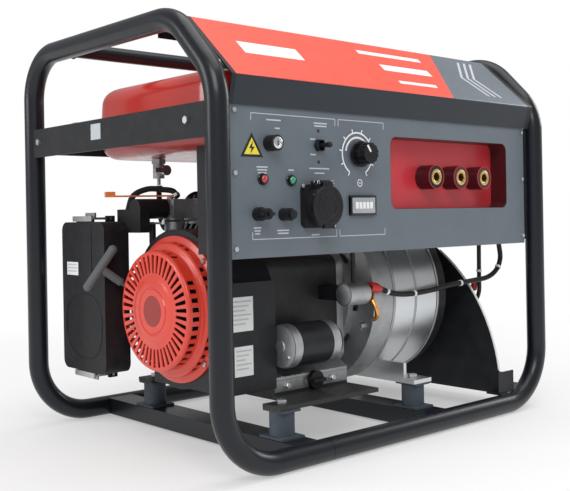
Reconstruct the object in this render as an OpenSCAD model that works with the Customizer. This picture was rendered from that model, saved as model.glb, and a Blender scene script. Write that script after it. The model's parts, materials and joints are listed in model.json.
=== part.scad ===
// Engine driven welder: open tube frame, petrol engine with recoil starter, welding alternator,
// control panel with three welding sockets, fuel tank and starting battery.
// Frame of the part: +X along the panel from the recoil starter to the alternator,
// the panel faces -Y, +Z up, origin on the floor under the middle of the tube frame.

/* [Tube frame] */
// Overall length of the tube frame along X
frame_l = 690; // [660:1:840]
// Overall width of the tube frame along Y
frame_w = 495; // [480:1:600]
// Overall height of the tube frame
frame_h = 588; // [575:1:720]
// Outside diameter of the frame tube
tube_d = 30; // [26:1:34]
// Wall of the frame tube
tube_wall = 2; // [1.5:0.1:4]
// Centreline radius of the bottom bends
corner_r = 85; // [50:1:95]
// Centreline radius of the two bends at the sloped front shoulder
shoulder_r = 80; // [50:1:90]
// Centreline radius of the rear upper bend
rear_r = 68; // [50:1:90]
// Height lost along the sloped front shoulder
shoulder_drop = 85; // [70:1:95]
// Depth of the sloped front shoulder
shoulder_in = 82.5; // [70:0.5:95]
// X position of the butt joint in both bottom rails
seam_x = -158; // [-170:1:0]
// Outside diameter of the top cross rail
rail_d = 22; // [18:1:26]
// Y position of the top cross rail
rail_y = 130; // [100:1:150]
// Width of the cross beams that carry the engine and the alternator
beam_w = 44; // [30:1:50]
// Height of the cross beams
beam_h = 25; // [20:1:28]
// Wall of the cross beams
beam_wall = 3; // [2:0.5:5]
// X position of the engine cross beam
engine_beam_x = -190; // [-200:1:-180]
// X position of the alternator cross beam
alt_beam_x = 76; // [66:1:100]

/* [Engine] */
// Y position of the crankshaft axis
axis_y = -30; // [-36:1:-24]
// Height of the crankshaft axis
axis_z = 193; // [188:1:200]
// Angle of the cylinder above the horizontal
cyl_angle = 40; // [36:1:44]
// Cylinder bore diameter
bore_d = 88; // [60:1:92]
// Outside radius of the fan shroud
shroud_r = 112; // [104:1:113]
// Flywheel radius
flywheel_r = 92; // [80:1:98]
// Radius of the recoil cover's base ring
recoil_r = 103; // [96:1:106]
// Radius of the recoil cover's slotted front drum
drum_r = 83.5; // [76:0.5:86]
// Number of slots round the front of the recoil cover
recoil_slots = 24; // [12:1:30]

/* [Alternator] */
// Outside radius of the alternator housing
alt_r = 134; // [120:1:134]
// Wall of the alternator housing
alt_wall = 4; // [3:0.5:6]
// Rotor radius
rotor_r = 80; // [60:1:88]

/* [Fuel tank] */
// Length of the fuel tank along X
tank_l = 510; // [440:1:560]
// Depth of the fuel tank along Y
tank_w = 325; // [300:1:330]
// Height of the upper tank shell above its flange
tank_up_h = 62; // [45:1:64]
// Depth of the lower tank shell below its flange
tank_low_h = 53; // [40:1:56]
// Wall of the tank shells
tank_wall = 1.5; // [1:0.5:3]

/* [Control panel] */
// Left edge of the control panel
panel_x0 = -312; // [-314:1:-306]
// Right edge of the control panel
panel_x1 = 302; // [296:1:314]
// Lower edge of the control panel
panel_z0 = 270; // [268:1:276]
// Upper edge of the control panel
panel_z1 = 470; // [466:1:478]
// Sheet thickness of the panel, hood and boxes
sheet = 2; // [1:0.5:3]
// Width of the recess that holds the welding sockets
recess_w = 278; // [270:1:290]
// Height of the recess that holds the welding sockets
recess_h = 102; // [90:1:108]
// Depth of the recess that holds the welding sockets
recess_depth = 30; // [26:1:32]
// Outside diameter of a welding socket
weld_socket_d = 36; // [30:1:40]
// Plug hole of a welding socket
weld_bore_d = 13.5; // [9:0.5:14]
// Spacing of the welding sockets
weld_pitch = 59; // [46:1:62]

/* [Fits] */
// Running clearance between a shaft and its hole, on the radius
run_gap = 0.05; // [0.02:0.01:0.1]
// Clearance between pieces that move past each other
move_gap = 0.3; // [0.3:0.1:1]
// Clearance between pieces that are assembled face to face
seat_gap = 0.15; // [0.05:0.05:0.4]

/* [Hidden] */
$fn = 64;

hoop_x = frame_l / 2 - tube_d / 2;
side_y = frame_w / 2 - tube_d / 2;
top_z = frame_h - tube_d / 2;
base_z = tube_d / 2;
seam_gap = 0.5;
cope_gap = 0.05;
joint_in = 2;
joint_step = 0.05;
eps = 0.01;

// Mounts between the beams and the machine
beam_z0 = 3;
beam_z1 = beam_z0 + beam_h;
mount_h = 38;
mount_z1 = beam_z1 + mount_h;
mount_y = [-180, 120];
mount_d = 40;
stud_d = 8;
hex_8 = 13;
foot_t = 6;

// Engine stations along X
shroud_x0 = -250;
shroud_x1 = -165;
case_x1 = -20;
cover_x1 = -5;
bell_x1 = 54;
stator_x1 = 162;
end_x1 = 226;
crank_x = -85;
head_x0 = -150;
head_x1 = -20;
barrel_u0 = 66;
barrel_u1 = 122;
head_u1 = 178;
rocker_u1 = 212;
head_half = 66;
recoil_x0 = -290;
drum_x1 = -268;
recoil_wall = 2.5;
ring_in = 4.8;
journal_r = 17.5;

// Carburettor bore
carb_y = 62;
carb_z = 335;
carb_x0 = -206;
choke_x = -195;
throttle_x = -160;
governor_x = -228;
link_arm = [-6, -40];
link_z = 312;

// Air cleaner
air_x0 = -298;
air_x1 = -282;
air_x2 = -256;
air_y0 = 84;
air_y1 = 210;
air_z0 = 92;
air_z1 = 317;
latch_y = 148;
latch_w = 60;

// Starter handle: pull direction and eyelet
pull_turn = 168.5;
pull_rise = 36;
eyelet = [-262, 66, 215];
handle_gap = 22;

// Fuel tank
tank_x0 = -248;
tank_y0 = -125;
tank_z = 466;
tank_flange = 12;
flange_t = 2;
tank_r = 45;
cap_pos = [20, 60];
cock_pos = [-184, 108];

// Panel plane and the things on it
panel_y = -232;
box_y1 = -150;
box_z1 = 412;
recess_x0 = -24;
recess_z0 = 328;
recess_r = 12;
weld_x = [82, 82 + weld_pitch, 82 + 2 * weld_pitch];
weld_z = 375;
key_xz = [-249, 411.5];
toggle_xz = [-164, 412];
knob_xz = [-91, 403];
lamp_xz = [[-261, 367], [-214, 366]];
earth_xz = [-270, 324];
breaker_xz = [-228, 323];
outlet_xz = [-172, 333];
meter_xz = [[-109.5, 320], [-59, 347]];
screw_x = [panel_x0 + 7, panel_x1 - 6];
screw_z = [panel_z0 + 12, 374, panel_z1 - 20];
hood_x0 = -308;
hood_x1 = 302;

// Battery
bat_x0 = 240;
bat_l = 77;
bat_y0 = -95;
bat_w = 181;
bat_h = 167;
tray_z = 30.3;
wall_x = 235;

// ---------- helpers ----------

// Unit vector along v
function unit(v) = v / norm(v);

// Direction angle of a 2D vector
function heading(v) = atan2(v[1], v[0]);

// Length that a bend takes off each of its two legs at corner i of a path
function bend_t(p, r, i) =
    (i <= 0 || i >= len(p) - 1) ? 0
    : r[i] * tan(abs(turn_at(p, i)) / 2);

// Signed turn at corner i of a path, from -180 to 180
function turn_at(p, i) =
    let (a = heading(p[i + 1] - p[i]) - heading(p[i] - p[i - 1]))
    a > 180 ? a - 360 : (a < -180 ? a + 360 : a);

// Solid round bar along a filleted path in the XY plane
module bar_path(p, r, d) {
    for (i = [0 : len(p) - 2]) {
        dir = unit(p[i + 1] - p[i]);
        t0 = bend_t(p, r, i);
        run = norm(p[i + 1] - p[i]) - t0 - bend_t(p, r, i + 1);
        // straights reach a little into the bends and are a hair thinner, so the joints are sound
        in0 = i == 0 ? 0 : joint_in;
        in1 = i == len(p) - 2 ? 0 : joint_in;
        if (run > eps)
            translate(concat(p[i] + dir * (t0 - in0), 0))
                rotate([0, 0, heading(dir)])
                    rotate([0, 90, 0])
                        cylinder(h = run + in0 + in1, d = d - 2 * joint_step);
    }
    for (i = [1 : len(p) - 2]) {
        din = unit(p[i] - p[i - 1]);
        a = turn_at(p, i);
        side = sign(a);
        centre = p[i] - din * bend_t(p, r, i) + [-din[1], din[0]] * side * r[i];
        start = side > 0 ? heading(din) - 90 : heading(din) + 90 + a;
        translate(concat(centre, 0))
            rotate([0, 0, start])
                rotate_extrude(angle = abs(a), $fn = 96)
                    translate([r[i], 0])
                        circle(d = d, $fn = 48);
    }
}

// Puts a drawing in XY into the YZ plane at height x
module in_yz(x) {
    translate([x, 0, 0]) rotate([90, 0, 90]) children();
}

// Puts a drawing in XY into the XZ plane at depth y
module in_xz(y) {
    translate([0, y, 0]) rotate([90, 0, 0]) children();
}

// Cylinder along X from x0 to x1 at (y, z)
module rod_x(x0, x1, y, z, r, fn = 64) {
    translate([x0, y, z]) rotate([0, 90, 0]) cylinder(h = x1 - x0, r = r, $fn = fn);
}

// Cylinder along Y from y0 to y1 at (x, z)
module rod_y(y0, y1, x, z, r, fn = 64) {
    translate([x, y0, z]) rotate([-90, 0, 0]) cylinder(h = y1 - y0, r = r, $fn = fn);
}

// Box given by its two corners
module box(a, b) {
    translate(a) cube(b - a);
}

// Rounded rectangle from (0, 0) with circles at its corners
module round_rect(w, h, r) {
    translate([r, 0]) square([w - 2 * r, h]);
    translate([0, r]) square([w, h - 2 * r]);
    for (x = [r, w - r], y = [r, h - r])
        translate([x, y]) circle(r = r, $fn = 32);
}

// Left normal of the leg from corner i of a 2D path
function left_of(p, i) = let (u = unit(p[i + 1] - p[i])) [-u[1], u[0]];

// Point beside corner i of a 2D path, at distance d to its left, mitred at the inner corners
function beside(p, i, d) =
    i == 0 ? p[0] + d * left_of(p, 0)
    : i == len(p) - 1 ? p[i] + d * left_of(p, i - 1)
    : p[i] + d * (left_of(p, i - 1) + left_of(p, i)) / (1 + left_of(p, i - 1) * left_of(p, i));

// Sheet-metal profile of thickness t along a 2D path
module strip(p, t) {
    polygon(concat(
        [for (i = [0 : len(p) - 1]) beside(p, i, t / 2)],
        [for (i = [len(p) - 1 : -1 : 0]) beside(p, i, -t / 2)]));
}

// Places children in the cylinder's own frame: +Y along the cylinder from the crankshaft
module on_cylinder() {
    translate([0, axis_y, axis_z]) rotate([cyl_angle, 0, 0]) children();
}

// World (y, z) of a point (u, w) in the cylinder's own frame
function cyl_point(u, w) = [
    axis_y + u * cos(cyl_angle) - w * sin(cyl_angle),
    axis_z + u * sin(cyl_angle) + w * cos(cyl_angle)
];

// Hexagon-head bolt pointing up from the origin, its shank below
module bolt_up(d, grip) {
    cylinder(h = d * 0.65, d = d * 1.65, $fn = 6);
    translate([0, 0, -grip]) cylinder(h = grip + eps, d = d - 0.6, $fn = 32);
}

// Catmull-Rom point between b and c
function cat(a, b, c, d, t) =
    0.5 * (2 * b + (c - a) * t + (2 * a - 5 * b + 4 * c - d) * t * t
        + (3 * b - a - 3 * c + d) * t * t * t);

// Smooth curve through the points p, n steps between neighbours
function curve(p, n) = concat(
    [for (i = [0 : len(p) - 2], k = [0 : n - 1])
        cat(p[max(i - 1, 0)], p[i], p[i + 1], p[min(i + 2, len(p) - 1)], k / n)],
    [p[len(p) - 1]]);

// Closed tube swept along the curve q, with s sides and radius r
module cable(q, r, s = 8) {
    n = len(q);
    up = [0.37, 0.21, 0.9];
    ring = [for (i = [0 : n - 1])
        let (
            t = unit(q[min(i + 1, n - 1)] - q[max(i - 1, 0)]),
            a = unit(cross(t, up)),
            b = cross(t, a)
        )
        each [for (k = [0 : s - 1])
            q[i] + r * (a * cos(360 * k / s) + b * sin(360 * k / s))]];
    polyhedron(
        points = ring,
        faces = concat(
            [[for (k = [0 : s - 1]) k]],
            [[for (k = [s - 1 : -1 : 0]) (n - 1) * s + k]],
            [for (i = [0 : n - 2], k = [0 : s - 1])
                [i * s + k, (i + 1) * s + k, (i + 1) * s + (k + 1) % s]],
            [for (i = [0 : n - 2], k = [0 : s - 1])
                [i * s + k, (i + 1) * s + (k + 1) % s, i * s + (k + 1) % s]]));
}

// ---------- frame ----------

arch_path = [
    [-side_y, base_z + corner_r - joint_in], [-side_y, top_z - shoulder_drop],
    [-side_y + shoulder_in, top_z], [side_y, top_z], [side_y, base_z + corner_r - joint_in]
];
arch_radii = [0, shoulder_r, shoulder_r, rear_r, 0];

// Path of one bottom leg: down from the upright, round the corner and along the rail
function leg_path(side) = [
    [side * hoop_x, base_z + corner_r], [side * hoop_x, base_z],
    [seam_x + side * seam_gap / 2, base_z]
];

module hoop_bar(side, d) {
    in_yz(side * hoop_x) bar_path(arch_path, arch_radii, d);
    for (y = [-side_y, side_y])
        in_xz(y) bar_path(leg_path(side), [0, corner_r, 0], d);
}

module frame_hoop(side) {
    color("#1b1f27")
        difference() {
            hoop_bar(side, tube_d);
            hoop_bar(side, tube_d - 2 * tube_wall);
        }
}

module frame_hoop_left() {
    frame_hoop(-1);
}

module frame_hoop_right() {
    frame_hoop(1);
}

module cross_beam(x) {
    difference() {
        box([x - beam_w / 2, -side_y, beam_z0], [x + beam_w / 2, side_y, beam_z1]);
        box([x - beam_w / 2 + beam_wall, -side_y - 1, beam_z0 - 1],
            [x + beam_w / 2 - beam_wall, side_y + 1, beam_z1 - beam_wall]);
        for (y = [-side_y, side_y])
            rod_x(x - beam_w, x + beam_w, y, base_z, tube_d / 2 + cope_gap);
        for (y = mount_y)
            translate([x, y, 0]) cylinder(h = beam_z1 + 1, d = stud_d + 0.6, $fn = 32);
    }
}

module cross_members() {
    color("#15181e") {
        difference() {
            rod_x(-hoop_x, hoop_x, rail_y, top_z, rail_d / 2);
            rod_x(-hoop_x - 1, hoop_x + 1, rail_y, top_z, rail_d / 2 - tube_wall);
            for (s = [-1, 1])
                rod_y(rail_y - rail_d, rail_y + rail_d, s * hoop_x, top_z, tube_d / 2 + cope_gap);
        }
        cross_beam(engine_beam_x);
        cross_beam(alt_beam_x);
    }
}

// ---------- tank carriers ----------

plate_out = 8.5;
plate_t = 2.5;
plate_z = [417, 460];
rail_rear_y = [186, 214.5];
rail_front_y = [-198, -160];
rail_z = [422, 460];
tie_z = 440;
tie_y = [-184, 200];

module tank_end_plates() {
    color("#101216")
        for (s = [-1, 1])
            difference() {
                union() {
                    box([s * (hoop_x + plate_out - plate_t / 2) - plate_t / 2, -side_y, plate_z[0]],
                        [s * (hoop_x + plate_out - plate_t / 2) + plate_t / 2, side_y, plate_z[1]]);
                    box([s * (hoop_x + 1) - 6, -side_y + tube_d, plate_z[1] - 2],
                        [s * (hoop_x + 1) + 6, side_y - tube_d, plate_z[1]]);
                }
                for (y = [-side_y, side_y])
                    translate([s * hoop_x, y, plate_z[0] - 1])
                        cylinder(h = 60, r = tube_d / 2 + 0.4);
                for (y = tie_y)
                    rod_x(s * (hoop_x + plate_out) - 6, s * (hoop_x + plate_out) + 6,
                        y, tie_z, stud_d / 2, 32);
                // room for the rail ends under the folded edge
                for (y = [rail_rear_y, rail_front_y])
                    box([s * (hoop_x + 1) - 7, y[0] - 1, plate_z[1] - 4],
                        [s * (hoop_x + 1) + 6.2 - (s > 0 ? 1.2 : 0), y[1] + 1, plate_z[1] + 1]);
            }
}

module tank_rail(y, web_at) {
    x1 = hoop_x + plate_out - plate_t - seat_gap;
    difference() {
        union() {
            box([-x1, y[0], rail_z[1] - 2.5], [x1, y[1], rail_z[1]]);
            box([-x1, web_at, rail_z[0]], [x1, web_at + 2.5, rail_z[1]]);
            for (s = [-1, 1])
                box([s * (x1 - 1.25) - 1.25, y[0], rail_z[0]],
                    [s * (x1 - 1.25) + 1.25, y[1], rail_z[1]]);
        }
        for (s = [-1, 1])
            rod_x(s * x1 - 5, s * x1 + 5, y[0] < 0 ? tie_y[0] : tie_y[1], tie_z, stud_d / 2, 32);
        for (x = tank_tab_x)
            translate([x, y[0] < 0 ? tab_y[0] : tab_y[1], rail_z[1] - 5])
                cylinder(h = 10, d = stud_d + 0.6, $fn = 32);
    }
}

tank_tab_x = [tank_x0 - 27, tank_x0 + tank_l + 27];
tab_y = [-172, 200];

module tank_rails() {
    color("#14171c") {
        tank_rail(rail_rear_y, rail_rear_y[1] - 2.5);
        tank_rail(rail_front_y, rail_front_y[0]);
    }
}

// ---------- rubber mounts and bolts ----------

module rubber_mount() {
    translate([-mount_d / 2, -mount_d / 2 - 3, 0]) cube([mount_d, mount_d + 6, 3]);
    translate([0, 0, 3]) cylinder(h = mount_h - 6, d = mount_d - 6);
    translate([-mount_d / 2 + 4, -mount_d / 2, mount_h - 3]) cube([mount_d - 8, mount_d, 3]);
}

module rubber_mounts() {
    color("#2b3440") {
        for (x = [engine_beam_x, alt_beam_x], y = mount_y)
            translate([x, y, beam_z1 + seat_gap])
                difference() {
                    rubber_mount();
                    translate([0, 0, mount_h - 14]) cylinder(h = 20, d = stud_d, $fn = 32);
                }
        for (x = tank_tab_x, y = tab_y)
            translate([x, y, rail_z[1] + seat_gap])
                difference() {
                    cylinder(h = tank_z - rail_z[1] - flange_t - 2 * seat_gap, d = 22);
                    translate([0, 0, -1]) cylinder(h = 12, d = stud_d + 0.6, $fn = 32);
                }
    }
}

module assembly_bolts() {
    color("silver") {
        for (x = [engine_beam_x, alt_beam_x], y = mount_y)
            translate([x, y, mount_z1 + 2 * seat_gap + foot_t + seat_gap]) bolt_up(stud_d, 14);
        for (x = tank_tab_x, y = tab_y)
            translate([x, y, tank_z + flange_t + seat_gap]) bolt_up(stud_d, 14);
        for (s = [-1, 1], y = tie_y)
            translate([s * (hoop_x + plate_out + seat_gap), y, tie_z])
                rotate([0, s * 90, 0]) bolt_up(6, 8);
        // bolts of the recoil cover's base ring
        for (a = [45 : 90 : 315])
            translate([shroud_x0 - 4 - seat_gap, axis_y, axis_z])
                rotate([a, 0, 0])
                    translate([0, recoil_r - ring_in, 0]) rotate([0, -90, 0]) bolt_up(5, 8);
        // panel screws
        for (x = screw_x, z = screw_z)
            translate([x, panel_y - seat_gap, z]) rotate([90, 0, 0]) bolt_up(4, 5);
    }
}

// ---------- fuel system ----------

// Rounded slab with soft upper or lower edges, foot at z = 0
module tank_form(l, w, h, r, soft) {
    hull() {
        translate([r, r, 0]) cylinder(h = 1, r = r, $fn = 32);
        translate([l - r, r, 0]) cylinder(h = 1, r = r, $fn = 32);
        translate([r, w - r, 0]) cylinder(h = 1, r = r, $fn = 32);
        translate([l - r, w - r, 0]) cylinder(h = 1, r = r, $fn = 32);
        for (x = [r + 4, l - r - 4], y = [r + 4, w - r - 4])
            translate([x, y, h - soft]) {
                cylinder(h = soft, r = r - soft, $fn = 32);
                cylinder(h = soft * 0.3, r = r - soft * 0.3, $fn = 32);
                cylinder(h = soft * 0.7, r = r - soft * 0.65, $fn = 32);
            }
    }
}

module tank_flange_plate(inset, tabs) {
    translate([tank_x0 - tank_flange, tank_y0 - tank_flange, 0])
        linear_extrude(flange_t)
            difference() {
                round_rect(tank_l + 2 * tank_flange, tank_w + 2 * tank_flange, tank_r);
                translate([tank_flange + inset, tank_flange + inset])
                    round_rect(tank_l - 2 * inset, tank_w - 2 * inset, tank_r - inset);
            }
    if (tabs)
        for (x = tank_tab_x) {
            // front and rear tabs beyond the ends of the tank, on the carrier rails
            box([x - 11, tab_y[0] - 12, 0], [x + 11, tank_y0 + 22, flange_t]);
            box([x - 11, tab_y[1] - 22, 0], [x + 11, tab_y[1] + 12, flange_t]);
            side = x < 0 ? 1 : -1;
            for (y = [tank_y0 + 2, tab_y[1] - 12])
                box([x + side * 17 - 17, y - 10, 0], [x + side * 17 + 17, y + 10, flange_t]);
        }
}

module fuel_tank_upper() {
    z = tank_z + flange_t + seat_gap;
    color("#e0392b")
        difference() {
            union() {
                translate([tank_x0, tank_y0, z]) tank_form(tank_l, tank_w, tank_up_h, tank_r, 26);
                translate([0, 0, z]) tank_flange_plate(tank_wall, false);
            }
            translate([tank_x0 + tank_wall, tank_y0 + tank_wall, z - eps])
                tank_form(tank_l - 2 * tank_wall, tank_w - 2 * tank_wall, tank_up_h - tank_wall,
                    tank_r - tank_wall, 25);
            translate([cap_pos[0], cap_pos[1], z + 20]) cylinder(h = 60, r = 24);
        }
}

low_in = 17;

module fuel_tank_lower() {
    z = tank_z;
    color("#7d1512")
        difference() {
            union() {
                translate([tank_x0 + low_in, tank_y0 + low_in, z + eps]) mirror([0, 0, 1])
                    tank_form(tank_l - 2 * low_in, tank_w - 2 * low_in, tank_low_h, tank_r - 5, 22);
                translate([0, 0, z]) tank_flange_plate(low_in + tank_wall + 2, true);
            }
            translate([tank_x0 + low_in + tank_wall, tank_y0 + low_in + tank_wall, z + 2 * eps])
                mirror([0, 0, 1])
                    tank_form(tank_l - 2 * low_in - 2 * tank_wall,
                        tank_w - 2 * low_in - 2 * tank_wall, tank_low_h - tank_wall,
                        tank_r - 5 - tank_wall, 21);
            translate([cock_pos[0], cock_pos[1], z - tank_low_h - 5])
                cylinder(h = 20, r = 6.2, $fn = 32);
            for (x = tank_tab_x, y = tab_y)
                translate([x, y, z - 1]) cylinder(h = 5, d = stud_d, $fn = 32);
        }
}

neck_top = tank_z + flange_t + tank_up_h + 10;

module fuel_cap() {
    color("#18191b")
        translate([cap_pos[0], cap_pos[1], 0]) {
            difference() {
                translate([0, 0, neck_top - 9]) cylinder(h = 24, r = 33);
                for (a = [0 : 30 : 330])
                    rotate([0, 0, a]) translate([34.5, 0, neck_top - 10])
                        cylinder(h = 30, r = 4.5, $fn = 24);
            }
            translate([0, 0, tank_z + tank_up_h - 12]) cylinder(h = 30, r = 23.5);
        }
}

cock_z1 = tank_z - tank_low_h - seat_gap;

module fuel_cock() {
    color("#5d6063")
        translate([cock_pos[0], cock_pos[1], 0])
            difference() {
                union() {
                    translate([0, 0, cock_z1 - 30]) cylinder(h = 30, r = 9);
                    translate([0, 0, cock_z1 - 7]) cylinder(h = 7, r = 12, $fn = 6);
                    translate([0, 0, cock_z1 - 1]) cylinder(h = 14, r = 6, $fn = 32);
                    rod_y(-18, -5, 0, cock_z1 - 18, 7, 32);
                    translate([0, 0, cock_z1 - 40]) cylinder(h = 12, r = 2.8, $fn = 24);
                }
                rod_y(-19, -6, 0, cock_z1 - 18, 4 + run_gap, 32);
            }
}

cock_lever_l = 21;

module fuel_cock_lever() {
    color("#c9ccd0")
        translate([cock_pos[0], cock_pos[1], cock_z1 - 18]) {
            rod_y(-19, -8, 0, 0, 4, 32);
            rod_y(-23, -18.3, 0, 0, 8, 32);
            box([-cock_lever_l, -23, -3.5], [0, -19.5, 3.5]);
        }
}

hose_fuel = [
    [-184, 108, 372], [-184, 108, 356], [-184, 107, 336], [-185, 102, 318], [-187, 92, 307],
    [-188, 84, 305], [-188, 77.4, 305]
];
hose_breather = [
    [-255, 124, 300], [-246, 124, 300], [-236, 124, 310], [-232, 122, 334], [-226, 116, 356],
    [-208, 104, 366], [-190, 90, 365], [-179, 77, 362], [-176, 70, 352]
];

module hoses() {
    color("#141414") {
        cable(curve(hose_fuel, 4), 4.2, 10);
        cable(curve(hose_breather, 4), 4.5, 10);
    }
}

// ---------- engine ----------

module crankcase() {
    color("#b9bcbf")
        difference() {
            union() {
                // upper body
                in_yz(shroud_x1 + 2) translate([-115, 100]) linear_extrude(case_x1 - shroud_x1 - 2)
                    round_rect(165, 162, 18);
                // sump with its sloped front
                in_yz(shroud_x1 + 2) linear_extrude(case_x1 - shroud_x1 - 2)
                    polygon([[-135, 74], [60, 74], [60, 120], [-100, 120], [-135, 96]]);
                // feet
                for (y = mount_y)
                    box([engine_beam_x - 18, y - 18, mount_z1 + 2 * seat_gap],
                        [engine_beam_x + 60, y + 18, mount_z1 + 2 * seat_gap + foot_t]);
                box([shroud_x1 + 2, -198, mount_z1 + 2 * seat_gap],
                    [case_x1, 138, mount_z1 + 2 * seat_gap + foot_t]);
                box([shroud_x1 + 2, -135, mount_z1 + 2 * seat_gap], [case_x1, 60, 76]);
                // barrel root and fins
                on_cylinder() {
                    translate([crank_x, 40, 0]) rotate([-90, 0, 0])
                        cylinder(h = barrel_u1 - 40, r = bore_d / 2 + 8);
                    for (u = [barrel_u0 + 22 : 10 : barrel_u1 - 6])
                        box([head_x0 + 4, u, -head_half + 6], [head_x1 - 4, u + 4, head_half - 6]);
                    box([head_x0 + 4, barrel_u1 - 6, -head_half + 6],
                        [head_x1 - 4, barrel_u1, head_half - 6]);
                }
            }
            // crank chamber, bore and bearing seats
            rod_x(crank_x - 42, case_x1 + 1, axis_y, axis_z, 64);
            on_cylinder()
                translate([crank_x, 0, 0]) rotate([-90, 0, 0])
                    cylinder(h = barrel_u1 + 1, r = bore_d / 2);
            rod_x(shroud_x1 - 1, crank_x - 30, axis_y, axis_z, 36);
            // oil hole
            rod_y(-136, -118, -89, 86, 9 + run_gap, 32);
            for (y = mount_y)
                translate([engine_beam_x, y, 60]) cylinder(h = 20, d = stud_d, $fn = 32);
        }
}

module crankcase_cover() {
    color("#c4c7ca")
        difference() {
            in_yz(case_x1 + seat_gap) translate([-115, 100])
                linear_extrude(cover_x1 - case_x1 - seat_gap) round_rect(165, 162, 18);
            rod_x(case_x1 - 1, cover_x1 + 1, axis_y, axis_z, 36);
        }
}

module cylinder_head() {
    color("#8f9296")
        difference() {
            on_cylinder()
                difference() {
                    union() {
                        box([head_x0, barrel_u1 + seat_gap, -head_half],
                            [head_x1, barrel_u1 + 10, head_half]);
                        box([head_x0 + 14, barrel_u1 + 9, -head_half + 14],
                            [head_x1 - 14, head_u1, head_half - 14]);
                        for (u = [barrel_u1 + 17 : 11 : head_u1 - 6])
                            box([head_x0, u, -head_half], [head_x1, u + 4, head_half]);
                        // inlet flange
                        translate([head_x0, 161.8, 49.6]) rotate([0, 90, 0])
                            cylinder(h = 30, r = 16);
                        // exhaust flange
                        translate([head_x1 - 30, 160.8, -44.9]) rotate([0, 90, 0])
                            cylinder(h = 30, r = 16);
                    }
                    // combustion chamber
                    translate([crank_x, barrel_u1 - 1, 0]) rotate([-90, 0, 0])
                        cylinder(h = 14, r = bore_d / 2);
                }
            // ports
            rod_x(head_x0 - 1, head_x0 + 40, carb_y, carb_z, 11);
            rod_x(head_x1 - 40, head_x1 + 1, exhaust_yz[0], exhaust_yz[1], 11);
            // spark plug hole, from the rear lower side
            on_cylinder()
                translate([crank_x + 26, barrel_u1 + 44, -head_half - 1])
                    cylinder(h = 40, r = plug_r + run_gap, $fn = 32);
        }
}

exhaust_yz = cyl_point(160.8, -44.9);
plug_r = 7;

module rocker_cover() {
    color("#222529")
        on_cylinder()
            difference() {
                union() {
                    translate([head_x0 + 20, head_u1 + seat_gap, -44])
                        rotate([-90, 0, 0]) mirror([0, 1, 0])
                            linear_extrude(rocker_u1 - head_u1) round_rect(90, 88, 16);
                    translate([head_x0 + 12, head_u1 + seat_gap, -52])
                        rotate([-90, 0, 0]) mirror([0, 1, 0])
                            linear_extrude(5) round_rect(106, 104, 18);
                }
                translate([head_x0 + 24, head_u1, -40])
                    rotate([-90, 0, 0]) mirror([0, 1, 0])
                        linear_extrude(rocker_u1 - head_u1 - 4) round_rect(82, 80, 12);
            }
}

module spark_plug() {
    color("#e8e6e0")
        on_cylinder()
            translate([crank_x + 26, barrel_u1 + 44, 0]) {
                translate([0, 0, -head_half - 2]) cylinder(h = 38, r = plug_r, $fn = 32);
                translate([0, 0, -head_half - 9]) cylinder(h = 8, r = 10, $fn = 6);
                translate([0, 0, -head_half - 26]) cylinder(h = 18, r = 5, $fn = 32);
            }
}

plug_tip = cyl_point(barrel_u1 + 44, -head_half - 26);
plug_x = crank_x + 26;
lead_route = [
    [plug_x, plug_tip[0] + 6, plug_tip[1] - 7], [plug_x, plug_tip[0] + 14, plug_tip[1] - 17],
    [plug_x - 14, plug_tip[0] + 16, plug_tip[1] - 34], [plug_x - 40, 140, 150],
    [plug_x - 70, 100, 138], [plug_x - 90, 80, 142], [shroud_x1 + 4, 68, 146]
];

module plug_lead() {
    color("#111111") {
        on_cylinder()
            translate([crank_x + 26, barrel_u1 + 44, -head_half - 40])
                difference() {
                    cylinder(h = 26, r = 9, $fn = 32);
                    translate([0, 0, 12]) cylinder(h = 20, r = 5 + seat_gap, $fn = 32);
                }
        cable(curve(lead_route, 4), 3.5, 8);
    }
}

module fan_shroud() {
    color("#16181b")
        difference() {
            union() {
                rod_x(shroud_x0, shroud_x1, axis_y, axis_z, shroud_r, 96);
                // squared lower front corner
                in_yz(shroud_x0) linear_extrude(shroud_x1 - shroud_x0)
                    polygon([[-142, 84], [axis_y + 60, 84], [axis_y + 60, axis_z],
                        [-142, axis_z + 40]]);
                // post of the governor arm
                translate([governor_x, carb_y, 200]) cylinder(h = link_z - 200 - seat_gap, r = 5);
                translate([governor_x, carb_y, 300]) cylinder(h = link_z + 3.5 - 300, r = 3);
                box([governor_x - 5, carb_y - 30, 230], [governor_x + 5, carb_y, 262]);
            }
            rod_x(shroud_x0 + 3, shroud_x1 + 1, axis_y, axis_z, shroud_r - 3, 96);
            rod_x(shroud_x0 - 1, shroud_x0 + 4, axis_y, axis_z, 88, 96);
            for (a = [45 : 90 : 315])
                translate([shroud_x0, axis_y, axis_z])
                    rotate([a, 0, 0]) translate([0, recoil_r - ring_in, 0])
                        rod_x(-2, 4, 0, 0, 2.5, 32);
        }
}

module flywheel() {
    color("#6b6e72")
        difference() {
            union() {
                rod_x(-215, -190, axis_y, axis_z, flywheel_r, 96);
                rod_x(-230, -190, axis_y, axis_z, 30);
                for (a = [0 : 30 : 330])
                    translate([-236, axis_y, axis_z]) rotate([a, 0, 0])
                        box([0, 44, -2], [22, flywheel_r - 2, 2]);
                // starting cup
                rod_x(-256, -214, axis_y, axis_z, 42);
            }
            rod_x(-257, -231, axis_y, axis_z, 38);
            rod_x(-260, -180, axis_y, axis_z, 12.5 + seat_gap);
            rod_x(-191, -189, axis_y, axis_z, 84, 96);
            rod_x(-205, -189, axis_y, axis_z, 78, 96);
        }
    color("#6b6e72")
        difference() {
            rod_x(-205, -190, axis_y, axis_z, 26);
            rod_x(-206, -180, axis_y, axis_z, 12.5 + seat_gap);
        }
}

shaft_in = 0.02;

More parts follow.
